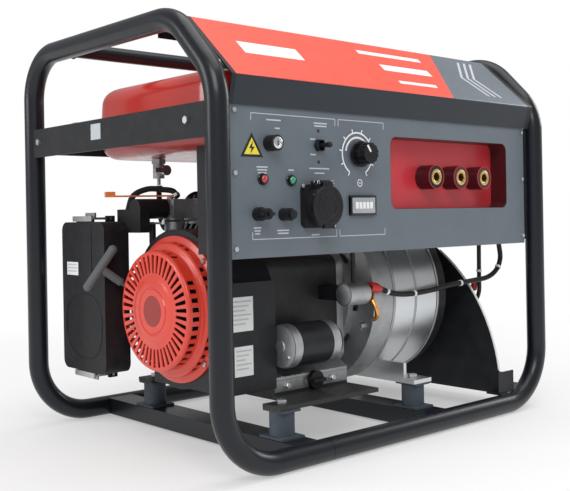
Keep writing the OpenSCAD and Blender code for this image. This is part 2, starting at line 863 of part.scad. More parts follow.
module crankshaft() {
    color("#9fa3a7")
        translate([0, axis_y, axis_z]) {
            rod_x(-234, -188, 0, 0, 12.5, 48);
            rod_x(-189, crank_x - 17, 0, 0, journal_r, 48);
            for (s = [-1, 1])
                difference() {
                    rod_x(crank_x + s * 16 - 6, crank_x + s * 16 + 6, 0, 0, 52);
                    box([crank_x - 30, 22, 10], [crank_x + 30, 60, 60]);
                    box([crank_x - 30, 22, -60], [crank_x + 30, 60, -10]);
                }
            rod_x(crank_x - 12, crank_x + 12, 32, 0, 15, 48);
            rod_x(crank_x + 17, end_x1 - 30, 0, 0, journal_r, 48);
        }
}

module ring_x(x0, x1, r1, r0) {
    difference() {
        rod_x(x0, x1, axis_y, axis_z, r1);
        rod_x(x0 - 1, x1 + 1, axis_y, axis_z, r0);
    }
}

module bearings() {
    color("#d5d8da") {
        ring_x(-160, -140, 36 - shaft_in, journal_r + run_gap);
        ring_x(case_x1 + 0.5, cover_x1 - 0.5, 36 - shaft_in, journal_r + run_gap);
        ring_x(176, 192, 36 - shaft_in, journal_r + run_gap);
    }
}

module recoil_cover() {
    color("#d8301f")
        difference() {
            union() {
                difference() {
                    union() {
                        rod_x(recoil_x0, drum_x1 + 1, axis_y, axis_z, drum_r, 96);
                        rod_x(drum_x1, shroud_x0 - seat_gap, axis_y, axis_z, recoil_r - 9, 96);
                        rod_x(shroud_x0 - 4, shroud_x0 - seat_gap, axis_y, axis_z, recoil_r, 96);
                    }
                    rod_x(recoil_x0 + recoil_wall, drum_x1 + recoil_wall, axis_y, axis_z,
                        drum_r - recoil_wall, 96);
                    rod_x(drum_x1 + recoil_wall - eps, shroud_x0 + 1, axis_y, axis_z,
                        recoil_r - 9 - recoil_wall, 96);
                    // slots round the front rim
                    for (i = [0 : recoil_slots - 1])
                        translate([recoil_x0 - 1, axis_y, axis_z])
                            rotate([360 * i / recoil_slots, 0, 0])
                                box([0, 54, -3], [recoil_wall + 2, drum_r - 6, 3]);
                    // slots along the drum's sides
                    for (i = [0 : 5])
                        translate([-284, axis_y, axis_z])
                            rotate([180 - 30 + 12 * i, 0, 0])
                                box([0, drum_r - 6, -2.5], [12, drum_r + 2, 2.5]);
                    // mouth of the rope guide
                    translate(eyelet) rotate([0, -pull_rise, pull_turn])
                        rod_x(-40, 20, 0, 0, 4, 32);
                }
                // raised centre and pulley post
                rod_x(recoil_x0 - 2, recoil_x0 + recoil_wall, axis_y, axis_z, 46);
                rod_x(recoil_x0, -262, axis_y, axis_z, 8, 48);
                // rope guide on the rim
                translate(eyelet) rotate([0, -pull_rise, pull_turn])
                    difference() {
                        rod_x(-8, 8, 0, 0, 9, 32);
                        rod_x(-9, 9, 0, 0, 4, 32);
                    }
            }
            for (a = [45 : 90 : 315])
                translate([shroud_x0, axis_y, axis_z])
                    rotate([a, 0, 0]) translate([0, recoil_r - ring_in, 0])
                        rod_x(-10, 10, 0, 0, 2.5, 32);
        }
}

module recoil_pulley() {
    color("#c9c2a8")
        difference() {
            rod_x(-285, -264, axis_y, axis_z, 56);
            difference() {
                rod_x(-280, -270, axis_y, axis_z, 60);
                rod_x(-281, -269, axis_y, axis_z, 50);
            }
            rod_x(-286, -263, axis_y, axis_z, 8 + run_gap, 48);
            rod_x(-270, -263, axis_y, axis_z, 40);
        }
}

module recoil_handle() {
    color("#8d9297")
        translate(eyelet) rotate([0, -pull_rise, pull_turn]) {
            rod_x(8 + move_gap, 50, 0, 0, 3.2, 24);
            rod_x(handle_gap, 56, 0, 0, 6, 32);
            translate([60, 0, -32]) cylinder(h = 64, r = 6.5, $fn = 32);
            for (z = [-32, 32])
                translate([60, 0, z]) sphere(r = 6.8, $fn = 32);
        }
}

// ---------- carburettor and controls ----------

module carburettor() {
    color("#c7cacd")
        difference() {
            union() {
                rod_x(carb_x0, head_x0 - seat_gap, carb_y, carb_z, 15);
                box([-200, carb_y - 16, carb_z - 15], [-156, carb_y + 16, carb_z + 14]);
                translate([-188, carb_y, 292]) cylinder(h = carb_z - 292, r = 15);
                box([head_x0 - 7, carb_y - 24, carb_z - 19], [head_x0 - seat_gap, carb_y + 24, carb_z + 15]);
                translate([choke_x, carb_y, carb_z]) cylinder(h = 18, r = 5, $fn = 32);
            }
            rod_x(carb_x0 - 1, head_x0 + 1, carb_y, carb_z, 12);
            translate([choke_x, carb_y, carb_z - 13]) cylinder(h = 40, r = 2.5 + run_gap, $fn = 32);
            translate([throttle_x, carb_y, carb_z - 30]) cylinder(h = 43, r = 2.5 + run_gap, $fn = 32);
        }
}

module choke_lever() {
    tip = [-85, 35];
    color("#f07a1c")
        translate([choke_x, carb_y, 0]) {
            translate([0, 0, carb_z - 12]) cylinder(h = 33, r = 2.5, $fn = 32);
            rotate([90, 0, 30]) translate([0, carb_z, -0.75]) cylinder(h = 1.5, r = 11.4);
            translate([0, 0, carb_z + 18 + move_gap]) {
                cylinder(h = 2.5, r = 6, $fn = 32);
                rotate([0, 0, heading(tip)]) translate([0, -4, 0]) cube([norm(tip), 8, 2.5]);
                rotate([0, 0, heading(tip)]) translate([norm(tip) - 8, -7, 0]) cube([14, 14, 8]);
            }
        }
}

module throttle_lever() {
    color("#b9bdc1")
        translate([throttle_x, carb_y, 0]) {
            translate([0, 0, link_z]) cylinder(h = carb_z + 12 - link_z, r = 2.5, $fn = 32);
            rotate([90, 0, 20]) translate([0, carb_z, -0.75]) cylinder(h = 1.5, r = 11.4);
            link_plate();
        }
}

// Flat link arm from a pivot to its pin
module link_plate() {
    translate([0, 0, link_z]) {
        difference() {
            union() {
                cylinder(h = 3, r = 6.5, $fn = 32);
                rotate([0, 0, heading(link_arm)]) translate([0, -4, 0]) cube([norm(link_arm), 8, 3]);
                translate(concat(link_arm, 0)) cylinder(h = 3, r = 4.6, $fn = 32);
            }
            children();
        }
        translate(concat(link_arm, 0)) cylinder(h = 8, r = 1.5, $fn = 32);
    }
}

module governor_arm() {
    color("#b9bdc1")
        translate([governor_x, carb_y, 0])
            link_plate()
                translate([0, 0, -1]) cylinder(h = 6, r = 3 + run_gap, $fn = 32);
}

module governor_rod() {
    z = link_z + 3 + move_gap;
    color("#d4d7da")
        translate([0, carb_y + link_arm[1], z])
            difference() {
                union() {
                    box([governor_x + link_arm[0], -2, 0], [throttle_x + link_arm[0], 2, 3]);
                    for (x = [governor_x, throttle_x])
                        translate([x + link_arm[0], 0, 0]) cylinder(h = 3, r = 3.6, $fn = 32);
                }
                for (x = [governor_x, throttle_x])
                    translate([x + link_arm[0], 0, -1])
                        cylinder(h = 6, r = 1.5 + run_gap, $fn = 32);
            }
}

module air_body(x0, x1, wall_open) {
    difference() {
        in_yz(x0) translate([air_y0, air_z0]) linear_extrude(x1 - x0)
            round_rect(air_y1 - air_y0, air_z1 - air_z0, 14);
        in_yz(wall_open < 0 ? x0 - 1 : x0 + 2.5) translate([air_y0 + 2.5, air_z0 + 2.5])
            linear_extrude(x1 - x0 - 1.5) round_rect(air_y1 - air_y0 - 5, air_z1 - air_z0 - 5, 11.5);
    }
}

module air_cleaner_case() {
    color("#131517")
        difference() {
            union() {
                air_body(air_x1 + seat_gap, air_x2, -1);
                // duct to the carburettor, rising from the case's back
                rod_x(air_x2 - 1, carb_x0 - seat_gap, carb_y, carb_z, 15);
                box([air_x2 - 3, carb_y - 15, 300], [air_x2 + 14, air_y0 + 26, carb_z]);
                rod_x(air_x2 - 3, air_x2 + 14, carb_y, carb_z, 15);
                // clip ears
                for (z = [air_z1 - 1, air_z0 - 9])
                    for (y = [latch_y - latch_w / 2 - 6, latch_y + latch_w / 2 + 1])
                        box([-276, y, z], [-262, y + 5, z + 10]);
            }
            rod_x(air_x2 + 3, carb_x0 + 1, carb_y, carb_z, 11.5);
            box([air_x2 - 6, air_y0 + 4, 304], [air_x2 + 11, air_y0 + 22, air_z1 - 3]);
            box([air_x2, carb_y - 8, 304], [air_x2 + 11, air_y0 + 22, carb_z - 4]);
            // pivot holes of the clips
            for (z = [air_z1 + 5, air_z0 - 5])
                rod_y(latch_y - latch_w, latch_y + latch_w, -269, z, 1.8 + run_gap, 24);
        }
}

module air_cleaner_cover() {
    color("#17191c") {
        air_body(air_x0, air_x1, 1);
        // lips that the clips pull on
        box([air_x0 + 4, latch_y - 24, air_z1 - 1], [air_x0 + 8, latch_y + 24, air_z1 + 6]);
        box([air_x0 + 4, latch_y - 24, air_z0 - 6], [air_x0 + 8, latch_y + 24, air_z0 + 1]);
    }
}

module air_filter_element() {
    color("#d9c36a")
        difference() {
            box([air_x0 + 2.9, air_y0 + 6, air_z0 + 8], [air_x2 - 3, air_y1 - 6, air_z1 - 20]);
            for (i = [0 : 8])
                box([air_x0 + 2, air_y0 + 14 + 11.5 * i, air_z0 + 16],
                    [air_x2 - 12, air_y0 + 20 + 11.5 * i, air_z1 - 28]);
        }
}

// Wire clip: pivot pin, two arms and a bar that hooks over the cover's lip
module latch_clip(z, s) {
    color("#c9ccd0") {
        rod_y(latch_y - latch_w / 2 - 6, latch_y + latch_w / 2 + 6, -269, z, 1.8, 24);
        for (y = [latch_y - latch_w / 2 + 3, latch_y + latch_w / 2 - 3]) {
            box([-297, y - 1.6, z - 1.6], [-269, y + 1.6, z + 1.6]);
        }
        box([-298, latch_y - latch_w / 2 + 2, z - 4], [-295, latch_y + latch_w / 2 - 2, z + 4]);
        box([-284, latch_y - 14, z + (s > 0 ? 1 : -9)], [-281, latch_y + 14, z + (s > 0 ? 9 : -1)]);
        box([-284, latch_y - latch_w / 2 + 2, z - 1.6], [-281, latch_y + latch_w / 2 - 2, z + 1.6]);
    }
}

module latch_clip_top() {
    latch_clip(air_z1 + 5, 1);
}

module latch_clip_bottom() {
    latch_clip(air_z0 - 5, -1);
}

muf = [[-12, 107, 225], [160, 212, 365]];

module muffler() {
    color("#8c8f92")
        difference() {
            union() {
                in_yz(muf[0][0]) translate([muf[0][1], muf[0][2]])
                    linear_extrude(muf[1][0] - muf[0][0])
                        round_rect(muf[1][1] - muf[0][1], muf[1][2] - muf[0][2], 24);
                rod_x(head_x1 + seat_gap, muf[0][0] + 1, exhaust_yz[0], exhaust_yz[1], 15);
                rod_x(muf[1][0] - 1, muf[1][0] + 30, 175, 330, 12, 48);
            }
            in_yz(muf[0][0] + 2) translate([muf[0][1] + 2, muf[0][2] + 2])
                linear_extrude(muf[1][0] - muf[0][0] - 4)
                    round_rect(muf[1][1] - muf[0][1] - 4, muf[1][2] - muf[0][2] - 4, 22);
            rod_x(head_x1 - 1, muf[0][0] + 3, exhaust_yz[0], exhaust_yz[1], 12);
            rod_x(muf[1][0] - 3, muf[1][0] + 31, 175, 330, 10, 48);
        }
}

module oil_cap() {
    color("#3b3f43")
        translate([-89, 0, 86]) {
            rod_y(-135 + move_gap, -119, 0, 0, 9, 32);
            rod_y(-144, -135 - move_gap, 0, 0, 13);
            rod_y(-136, -134, 0, 0, 9, 32);
            box([-12, -150, -2.5], [12, -143, 2.5]);
        }
}

module starter_motor() {
    color("#1c1e21") {
        difference() {
            union() {
                rod_x(-163, -75, -150, 142, 30);
                rod_x(-75 - 1, -66, -150, 142, 24);
                box([-140, -135, 120], [-100, -115 - seat_gap, 164]);
            }
            rod_x(-160, -80, -150, 142, 26);
        }
        // solenoid switch with its two studs
        rod_x(-62, -20, -172, 207, 16);
        rod_x(-20, -8, -172, 214, 3, 24);
        rod_x(-20, -8, -172, 200, 3, 24);
        box([-56, -160, 197], [-26, -115 - seat_gap, 217]);
    }
}

// ---------- alternator ----------

module alternator_front_bell() {
    color("#aeb2b6")
        difference() {
            union() {
                rod_x(cover_x1 + seat_gap, 12, axis_y, axis_z, 96, 96);
                rod_x(12 - 1, bell_x1, axis_y, axis_z, alt_r, 96);
            }
            rod_x(cover_x1 - 1, 5, axis_y, axis_z, 30);
            rod_x(5 - 1, 18, axis_y, axis_z, 88, 96);
            rod_x(18 - eps, bell_x1 + 1, axis_y, axis_z, alt_r - alt_wall, 96);
            // cooling windows in the neck
            for (a = [0 : 45 : 315])
                translate([-2, axis_y, axis_z]) rotate([a, 0, 0]) box([8, 80, -18], [16, 100, 18]);
        }
}

module stator_housing() {
    color("#c3c7cb")
        difference() {
            union() {
                rod_x(bell_x1 + seat_gap, stator_x1, axis_y, axis_z, alt_r, 96);
                // feet on the rubber mounts
                for (y = mount_y) {
                    box([alt_beam_x - 20, y - 20, mount_z1 + 2 * seat_gap],
                        [alt_beam_x + 20, y + 20, mount_z1 + 2 * seat_gap + foot_t]);
                    box([alt_beam_x - 20, min(y, axis_y + sign(y) * 60), mount_z1 + 2 * seat_gap],
                        [alt_beam_x - 14, max(y, axis_y + sign(y) * 60), mount_z1 + 30]);
                }
                box([alt_beam_x - 20, mount_y[0], mount_z1 + 2 * seat_gap],
                    [alt_beam_x + 20, mount_y[1], mount_z1 + 2 * seat_gap + foot_t]);
            }
            rod_x(bell_x1 - 1, stator_x1 + 1, axis_y, axis_z, alt_r - alt_wall, 96);
            for (y = mount_y)
                translate([alt_beam_x, y, 60]) cylinder(h = 20, d = stud_d, $fn = 32);
        }
}

module stator_core() {
    color("#a86b3c")
        difference() {
            rod_x(62, 150, axis_y, axis_z, alt_r - alt_wall - seat_gap, 96);
            rod_x(60, 152, axis_y, axis_z, rotor_r + 4, 96);
            for (a = [0 : 30 : 330])
                translate([0, axis_y, axis_z]) rotate([a, 0, 0])
                    box([60, rotor_r, -6], [152, rotor_r + 22, 6]);
        }
}

module rotor() {
    color("#7c5a44")
        difference() {
            union() {
                rod_x(66, 146, axis_y, axis_z, rotor_r, 96);
                // cooling fan
                rod_x(22, 26, axis_y, axis_z, 82, 96);
                rod_x(22, 70, axis_y, axis_z, 26);
                for (a = [0 : 36 : 324])
                    translate([26 - eps, axis_y, axis_z]) rotate([a, 0, 0])
                        box([0, 36, -1.5], [18, 80, 1.5]);
            }
            for (a = [0 : 60 : 300])
                translate([0, axis_y, axis_z]) rotate([a, 0, 0])
                    box([60, rotor_r - 26, -8], [150, rotor_r + 2, 8]);
            rod_x(20, 150, axis_y, axis_z, journal_r + shaft_in);
        }
}

module alternator_end_cover() {
    color("#111316")
        difference() {
            union() {
                rod_x(stator_x1 + seat_gap, 184, axis_y, axis_z, alt_r - 3, 96);
                rod_x(184 - 1, 196, axis_y, axis_z, alt_r - 22, 96);
                rod_x(196 - 1, end_x1, axis_y, axis_z, 78, 96);
            }
            rod_x(stator_x1 - 1, 180, axis_y, axis_z, alt_r - 7, 96);
            rod_x(180 - eps, 192, axis_y, axis_z, alt_r - 28, 96);
            rod_x(192 - eps, end_x1 - 4, axis_y, axis_z, 74, 96);
            for (a = [0 : 20 : 340])
                translate([end_x1 - 6, axis_y, axis_z]) rotate([a, 0, 0])
                    box([0, 38, -3], [8, 68, 3]);
        }
    // bearing bracket
    color("#111316") {
        ring_x(176, 192, 44, 36);
        for (a = [30 : 60 : 330])
            translate([176, axis_y, axis_z]) rotate([a, 0, 0])
                box([0, 40, -4], [12, alt_r - 27.5, 4]);
    }
}

// ---------- panel and electrics ----------

// Hole through the panel for a fitting
module panel_hole(xz, r) {
    rod_y(panel_y - 1, panel_y + sheet + 1, xz[0], xz[1], r, 48);
}

module control_panel() {
    color("#5b6570")
        difference() {
            union() {
                box([panel_x0, panel_y, panel_z0], [panel_x1, panel_y + sheet, panel_z1]);
                // folded lower edge
                box([panel_x0, panel_y, panel_z0], [panel_x1, panel_y + 12, panel_z0 + sheet]);
            }
            in_xz(panel_y + sheet + 1) translate([recess_x0, recess_z0])
                linear_extrude(sheet + 2) round_rect(recess_w, recess_h, recess_r);
            panel_hole(key_xz, 8);
            panel_hole(toggle_xz, 6);
            panel_hole(knob_xz, 5);
            for (p = lamp_xz)
                panel_hole(p, 5);
            panel_hole(earth_xz, 5);
            panel_hole(breaker_xz, 7.5);
            panel_hole(outlet_xz, 22);
            for (x = screw_x, z = screw_z)
                panel_hole([x, z], 2);
        }
}

tray_y0 = panel_y + sheet + seat_gap;
tray_y1 = panel_y + recess_depth + sheet;

module socket_tray() {
    color("#c3202b")
        difference() {
            union() {
                in_xz(tray_y1) translate([recess_x0 - sheet, recess_z0 - sheet])
                    linear_extrude(tray_y1 - tray_y0)
                        round_rect(recess_w + 2 * sheet, recess_h + 2 * sheet, recess_r + sheet);
                in_xz(tray_y0 + sheet) translate([recess_x0 - 10, recess_z0 - 10])
                    linear_extrude(sheet) round_rect(recess_w + 20, recess_h + 20, recess_r + 8);
            }
            in_xz(tray_y1 - sheet) translate([recess_x0, recess_z0])
                linear_extrude(recess_depth + 5) round_rect(recess_w, recess_h, recess_r);
            for (x = weld_x)
                rod_y(tray_y1 - sheet - 1, tray_y1 + 1, x, weld_z, weld_bore_d / 2 + 5 + seat_gap);
        }
}

module weld_sockets() {
    color("#a01620")
        for (x = weld_x) {
            back = tray_y1 - sheet - seat_gap;
            difference() {
                rod_y(panel_y + 4, back, x, weld_z, weld_socket_d / 2);
                rod_y(panel_y + 3, back + 1, x, weld_z, weld_bore_d / 2 + 5 + shaft_in);
            }
            difference() {
                union() {
                    rod_y(panel_y + 5, tray_y1 + 22, x, weld_z, weld_bore_d / 2 + 5);
                    rod_y(tray_y1 + seat_gap, tray_y1 + 8, x, weld_z, 16, 6);
                }
                rod_y(panel_y + 4, tray_y1 + 4, x, weld_z, weld_bore_d / 2);
            }
        }
}

hood_path = [
    [panel_y - 1.4, 457], [-242, 492], [-150, 576], [-90, 566], [-90, 557]
];

module hood() {
    color("#e5503c")
        in_yz(hood_x0) linear_extrude(hood_x1 - hood_x0) strip(hood_path, sheet);
    color("#17191c")
        for (x = [[-hoop_x + tube_d / 2 + 0.4, hood_x0 - seat_gap],
                [hood_x1 + seat_gap, hoop_x - tube_d / 2 - 0.4]])
            in_yz(x[0]) linear_extrude(x[1] - x[0]) strip(hood_path, 2.4);
}

box_x0 = panel_x0 + 12;
box_x1 = panel_x1 - 10;
ear_y = panel_y + sheet + seat_gap;

module control_box() {
    color("#1d2025")
        difference() {
            union() {
                box([box_x0, panel_y + 12 + seat_gap, panel_z0 + 4], [box_x1, box_y1, box_z1]);
                // ears that tie the box and the panel to the uprights
                for (x = [[-hoop_x + tube_d / 2 + 0.5, box_x0 + sheet],
                        [box_x1 - sheet, hoop_x - tube_d / 2 - 0.5]])
                    box([x[0], ear_y, panel_z0 + 6], [x[1], ear_y + sheet, panel_z1 - 13]);
                for (x = [box_x0, box_x1 - sheet])
                    box([x, ear_y, panel_z0 + 6], [x + sheet, panel_y + 16, box_z1 - 6]);
            }
            box([box_x0 + sheet, panel_y - 1, panel_z0 + 6],
                [box_x1 - sheet, box_y1 - sheet, box_z1 - sheet]);
            // the roof starts behind the socket recess and the switches
            box([box_x0 - 1, panel_y + 10, box_z1 - 6], [box_x1 + 1, tray_y1 + 2, box_z1 + 1]);
            for (x = screw_x, z = screw_z)
                rod_y(panel_y - 1, panel_y + 8, x, z, 2, 24);
        }
}

module panel_fittings() {
    y = panel_y - seat_gap;
    back = panel_y + sheet + seat_gap;
    color("#d0d3d6") {
        // ignition lock
        difference() {
            union() {
                rod_y(y - 16, y, key_xz[0], key_xz[1], 10);
                rod_y(y - 1, back + 18, key_xz[0], key_xz[1], 7.8);
            }
            rod_y(y - 17, back + 12, key_xz[0], key_xz[1], 6 + run_gap);
        }
        // toggle switch: collar with its ball seat open to the front
        difference() {
            union() {
                rod_y(y - 6, y, toggle_xz[0], toggle_xz[1], 8.5, 6);
                rod_y(y - 1, back + 4, toggle_xz[0], toggle_xz[1], 5.8);
                box([toggle_xz[0] - 10, back, toggle_xz[1] - 14],
                    [toggle_xz[0] + 10, back + 20, toggle_xz[1] + 14]);
            }
            rod_y(y - 7, back + 14, toggle_xz[0], toggle_xz[1], 4.6);
            box([toggle_xz[0] - 4.6, y - 7, toggle_xz[1] - 6.4],
                [toggle_xz[0] + 4.6, y - 0.5, toggle_xz[1] + 6.4]);
        }
        // current regulator
        difference() {
            union() {
                rod_y(y - 4, back + 1, knob_xz[0], knob_xz[1], 4.8);
                rod_y(back, back + 14, knob_xz[0], knob_xz[1], 12);
            }
            rod_y(y - 5, back + 8, knob_xz[0], knob_xz[1], 3 + run_gap);
        }
        // indicator lamps
        for (p = lamp_xz) {
            rod_y(y - 5, y, p[0], p[1], 6);
            rod_y(y - 1, back + 10, p[0], p[1], 4.8);
        }
        // earth terminal stud
        rod_y(y - 9, y, earth_xz[0], earth_xz[1], 8.5);
        rod_y(y - 27, back + 12, earth_xz[0], earth_xz[1], 3);
        rod_y(y - 1, back, earth_xz[0], earth_xz[1], 4.8);
        rod_y(back, back + 5, earth_xz[0], earth_xz[1], 7, 6);
        // circuit breaker collar
        difference() {
            union() {
                rod_y(y - 15, y, breaker_xz[0], breaker_xz[1], 8);
                rod_y(y - 1, back + 1, breaker_xz[0], breaker_xz[1], 7.3);
                box([breaker_xz[0] - 9, back, breaker_xz[1] - 13],
                    [breaker_xz[0] + 9, back + 26, breaker_xz[1] + 13]);
            }
            rod_y(y - 16, back + 10, breaker_xz[0], breaker_xz[1], 5.5 + run_gap);
        }
        // hour meter
        box([meter_xz[0][0], y - 4, meter_xz[0][1]], [meter_xz[1][0], y, meter_xz[1][1]]);
    }
}

module lock_core() {
    y = panel_y - seat_gap;
    color("#b9bcc0")
        translate([key_xz[0], 0, key_xz[1]])
            difference() {
                rod_y(y - 16.6, y + 8, 0, 0, 6, 48);
                // keyway
                box([-1, y - 18, -4], [1, y, 4]);
            }
}

toggle_y = panel_y + 8;
toggle_pin_l = 8.6;

module toggle_lever() {
    color("#17181a")
        translate([toggle_xz[0], toggle_y, toggle_xz[1]]) {
            sphere(r = 4.2, $fn = 32);
            // pivot pin
            rod_x(-toggle_pin_l / 2, toggle_pin_l / 2, 0, 0, 1.2, 24);
            translate([0, -15, 0]) rotate([-90, 0, 0])
                cylinder(h = 15, r1 = 2.4, r2 = 1.6, $fn = 32);
            translate([0, -29, 0]) rotate([-90, 0, 0])
                cylinder(h = 14.5, r1 = 3.6, r2 = 2.4, $fn = 32);
            translate([0, -29, 0]) sphere(r = 3.9, $fn = 32);
        }
}

module current_knob() {
    y = panel_y - seat_gap;
    color("#1a1b1d")
        translate([knob_xz[0], 0, knob_xz[1]]) {
            rod_y(y - 20, y + 8, 0, 0, 3, 32);
            difference() {
                union() {
                    rod_y(y - 26, y - 5, 0, 0, 14);
                    rod_y(y - 8, y - 4 - move_gap, 0, 0, 18);
                }
                for (a = [0 : 30 : 330])
                    rotate([0, a, 0]) rod_y(y - 27, y - 8, 15.4, 0, 2.5, 24);
            }
        }
}

outlet_y = panel_y - 20;
lid_hinge = [outlet_y + 1, outlet_xz[1] + 30];

module ac_socket() {
    color("#23262b")
        difference() {
            union() {
                in_xz(panel_y - seat_gap) translate([outlet_xz[0] - 26, outlet_xz[1] - 28])
                    linear_extrude(8) round_rect(52, 56, 8);
                rod_y(outlet_y, panel_y - 4, outlet_xz[0], outlet_xz[1], 25);
                rod_y(panel_y - 4, panel_y + 26, outlet_xz[0], outlet_xz[1], 21.5);
                // hinge ears
                for (x = [outlet_xz[0] - 13, outlet_xz[0] + 9])
                    box([x, outlet_y, lid_hinge[1] - 9], [x + 4, panel_y - 6, lid_hinge[1] + 2]);
            }
            rod_y(outlet_y - 1, outlet_y + 16, outlet_xz[0], outlet_xz[1], 20);
            for (x = [-9.5, 9.5])
                rod_y(outlet_y + 10, outlet_y + 36, outlet_xz[0] + x, outlet_xz[1], 2.6, 32);
            rod_x(outlet_xz[0] - 20, outlet_xz[0] + 20, lid_hinge[0] + 1, lid_hinge[1],
                1.5 + run_gap, 24);
            // room for the lid's knuckle
            box([outlet_xz[0] - 8.7, outlet_y - 3, lid_hinge[1] - 4],
                [outlet_xz[0] + 8.7, panel_y - 9, lid_hinge[1] + 4]);
        }
}

module socket_lid() {
    color("#1b1e22") {
        rod_y(outlet_y - 5, outlet_y - move_gap, outlet_xz[0], outlet_xz[1], 27);
        rod_x(outlet_xz[0] - 13, outlet_xz[0] + 13, lid_hinge[0] + 1, lid_hinge[1], 1.5, 24);
        rod_x(outlet_xz[0] - 8.4, outlet_xz[0] + 8.4, lid_hinge[0] + 1, lid_hinge[1], 3.2, 24);
        box([outlet_xz[0] - 8.4, outlet_y - 5, outlet_xz[1] + 22],
            [outlet_xz[0] + 8.4, outlet_y - 1, lid_hinge[1] + 1]);
        box([outlet_xz[0] - 9, outlet_y - 7, outlet_xz[1] - 29],
            [outlet_xz[0] + 9, outlet_y - 2, outlet_xz[1] - 24]);
    }
}

module breaker_button() {
    y = panel_y - seat_gap;
    color("#101112")
        rod_y(y - 21, y + 4, breaker_xz[0], breaker_xz[1], 5.5, 48);
}

module earth_nut() {
    y = panel_y - seat_gap;
    color("#1a1a1a")
        difference() {
            union() {
                rod_y(y - 22, y - 9 - move_gap, earth_xz[0], earth_xz[1], 7, 32);
                for (s = [-1, 1])
                    box([earth_xz[0] + s * 7 - 4, y - 21, earth_xz[1] - 2],
                        [earth_xz[0] + s * 7 + 4, y - 12, earth_xz[1] + 2]);
            }
            rod_y(y - 23, y, earth_xz[0], earth_xz[1], 3 + run_gap, 32);
        }
}

module battery() {
    color("#191a1c") {
        box([bat_x0, bat_y0, tray_z + 3 + seat_gap],
            [bat_x0 + bat_l, bat_y0 + bat_w, tray_z + bat_h - 12]);
        box([bat_x0 + 3, bat_y0 + 3, tray_z + 3],
            [bat_x0 + bat_l - 3, bat_y0 + bat_w - 3, tray_z + bat_h]);
        for (y = [bat_y0 + 14, bat_y0 + bat_w - 14])
            translate([bat_x0 + 18, y, tray_z + bat_h - 1]) box([-6, -6, 0], [6, 6, 12]);
    }
}

module battery_tray() {
    z1 = 262;
    color("#121417") {
        // floor of the tray, its ends resting on both bottom rails
        box([wall_x, -side_y + 16, tray_z], [wall_x + 92, side_y - 16, tray_z + 2.5]);
        for (s = [-1, 1])
            box([wall_x - 12, s * (side_y - 10) - 14, tray_z],
                [wall_x + 9, s * (side_y - 10) + 14, tray_z + 2.5]);
        // upright lug over the front rail
        box([wall_x - 12, -side_y, tray_z + 2], [wall_x + 28, -side_y + 2.5, 66]);
        box([wall_x, -side_y, tray_z + 2.4], [wall_x + sheet, -side_y + 20, 66]);
        // upright wall with its swept front edge
        in_yz(wall_x) linear_extrude(sheet) intersection() {
            translate([-226, tray_z]) square([290, z1 - tray_z]);
            translate([50, 32]) circle(r = 276, $fn = 96);
        }
        // end stop of the battery
        box([wall_x + 88, bat_y0 - 6, tray_z], [wall_x + 90, bat_y0 + bat_w + 6, tray_z + 40]);
        // strap over the battery
        box([wall_x, -20, tray_z + bat_h + seat_gap],
            [wall_x + 90, 0, tray_z + bat_h + 2]);
        box([wall_x + 88, -20, tray_z + 2], [wall_x + 90, 0, tray_z + bat_h + 2]);
    }
}

loom_main = [
    [288, -190, 272], [291, -190, 262], [293, -190, 244], [284, -189, 226], [262, -186, 214],
    [224, -181, 210], [170, -179, 206], [122, -178, 201], [70, -177, 199], [36, -176, 203],
    [14, -173, 211], [-7, -172, 214]
];
loom_battery = [
    [262, -170, 273], [262, -170, 262], [263, -169, 240], [264, -168, 216], [266, -166, 190],
    [267, -158, 176], [266, -144, 180], [263, -120, 202], [260, -98, 216], [258, -83, 213.5]
];
loom_engine = [
    [-46, -176, 273.6], [-46, -176, 262], [-44, -175, 250], [-42, -173, 238], [-41, -172, 224]
];

module wiring_loom() {
    color("#1a1a1a") {
        cable(curve(loom_main, 4), 4, 8);
        cable(curve(loom_battery, 4), 3.5, 8);
        cable(curve(loom_engine, 4), 3.5, 8);
    }
}

// ---------- nodes ----------

frame_hoop_left();
frame_hoop_right();
cross_members();
tank_end_plates();
tank_rails();
rubber_mounts();
assembly_bolts();
fuel_tank_upper();
fuel_tank_lower();
fuel_cap();
fuel_cock();
fuel_cock_lever();
hoses();
crankcase();
crankcase_cover();
cylinder_head();
rocker_cover();
spark_plug();
plug_lead();
fan_shroud();
flywheel();
crankshaft();
bearings();
recoil_cover();
recoil_pulley();
recoil_handle();
carburettor();
choke_lever();
throttle_lever();
governor_arm();
governor_rod();
air_cleaner_case();
air_cleaner_cover();
air_filter_element();
latch_clip_top();
latch_clip_bottom();
muffler();
oil_cap();
starter_motor();
alternator_front_bell();
stator_housing();
stator_core();
rotor();
alternator_end_cover();
control_panel();
socket_tray();
weld_sockets();
hood();
control_box();
panel_fittings();
lock_core();
toggle_lever();
current_knob();
ac_socket();
socket_lid();
breaker_button();
earth_nut();
battery();
battery_tray();
wiring_loom();
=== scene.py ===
"""Visual scene of an engine driven welder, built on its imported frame.

The solids give every place and size. This script gives them finishes, rebuilds the pieces
whose look needs finer meshes, and sets the floor, the lights and the camera.
"""

import json
import logging
import math
import random
from dataclasses import dataclass
from enum import Enum
from typing import Callable, Dict, Iterable, List, Sequence, Tuple

import bmesh
import bpy
from mathutils import Matrix, Vector

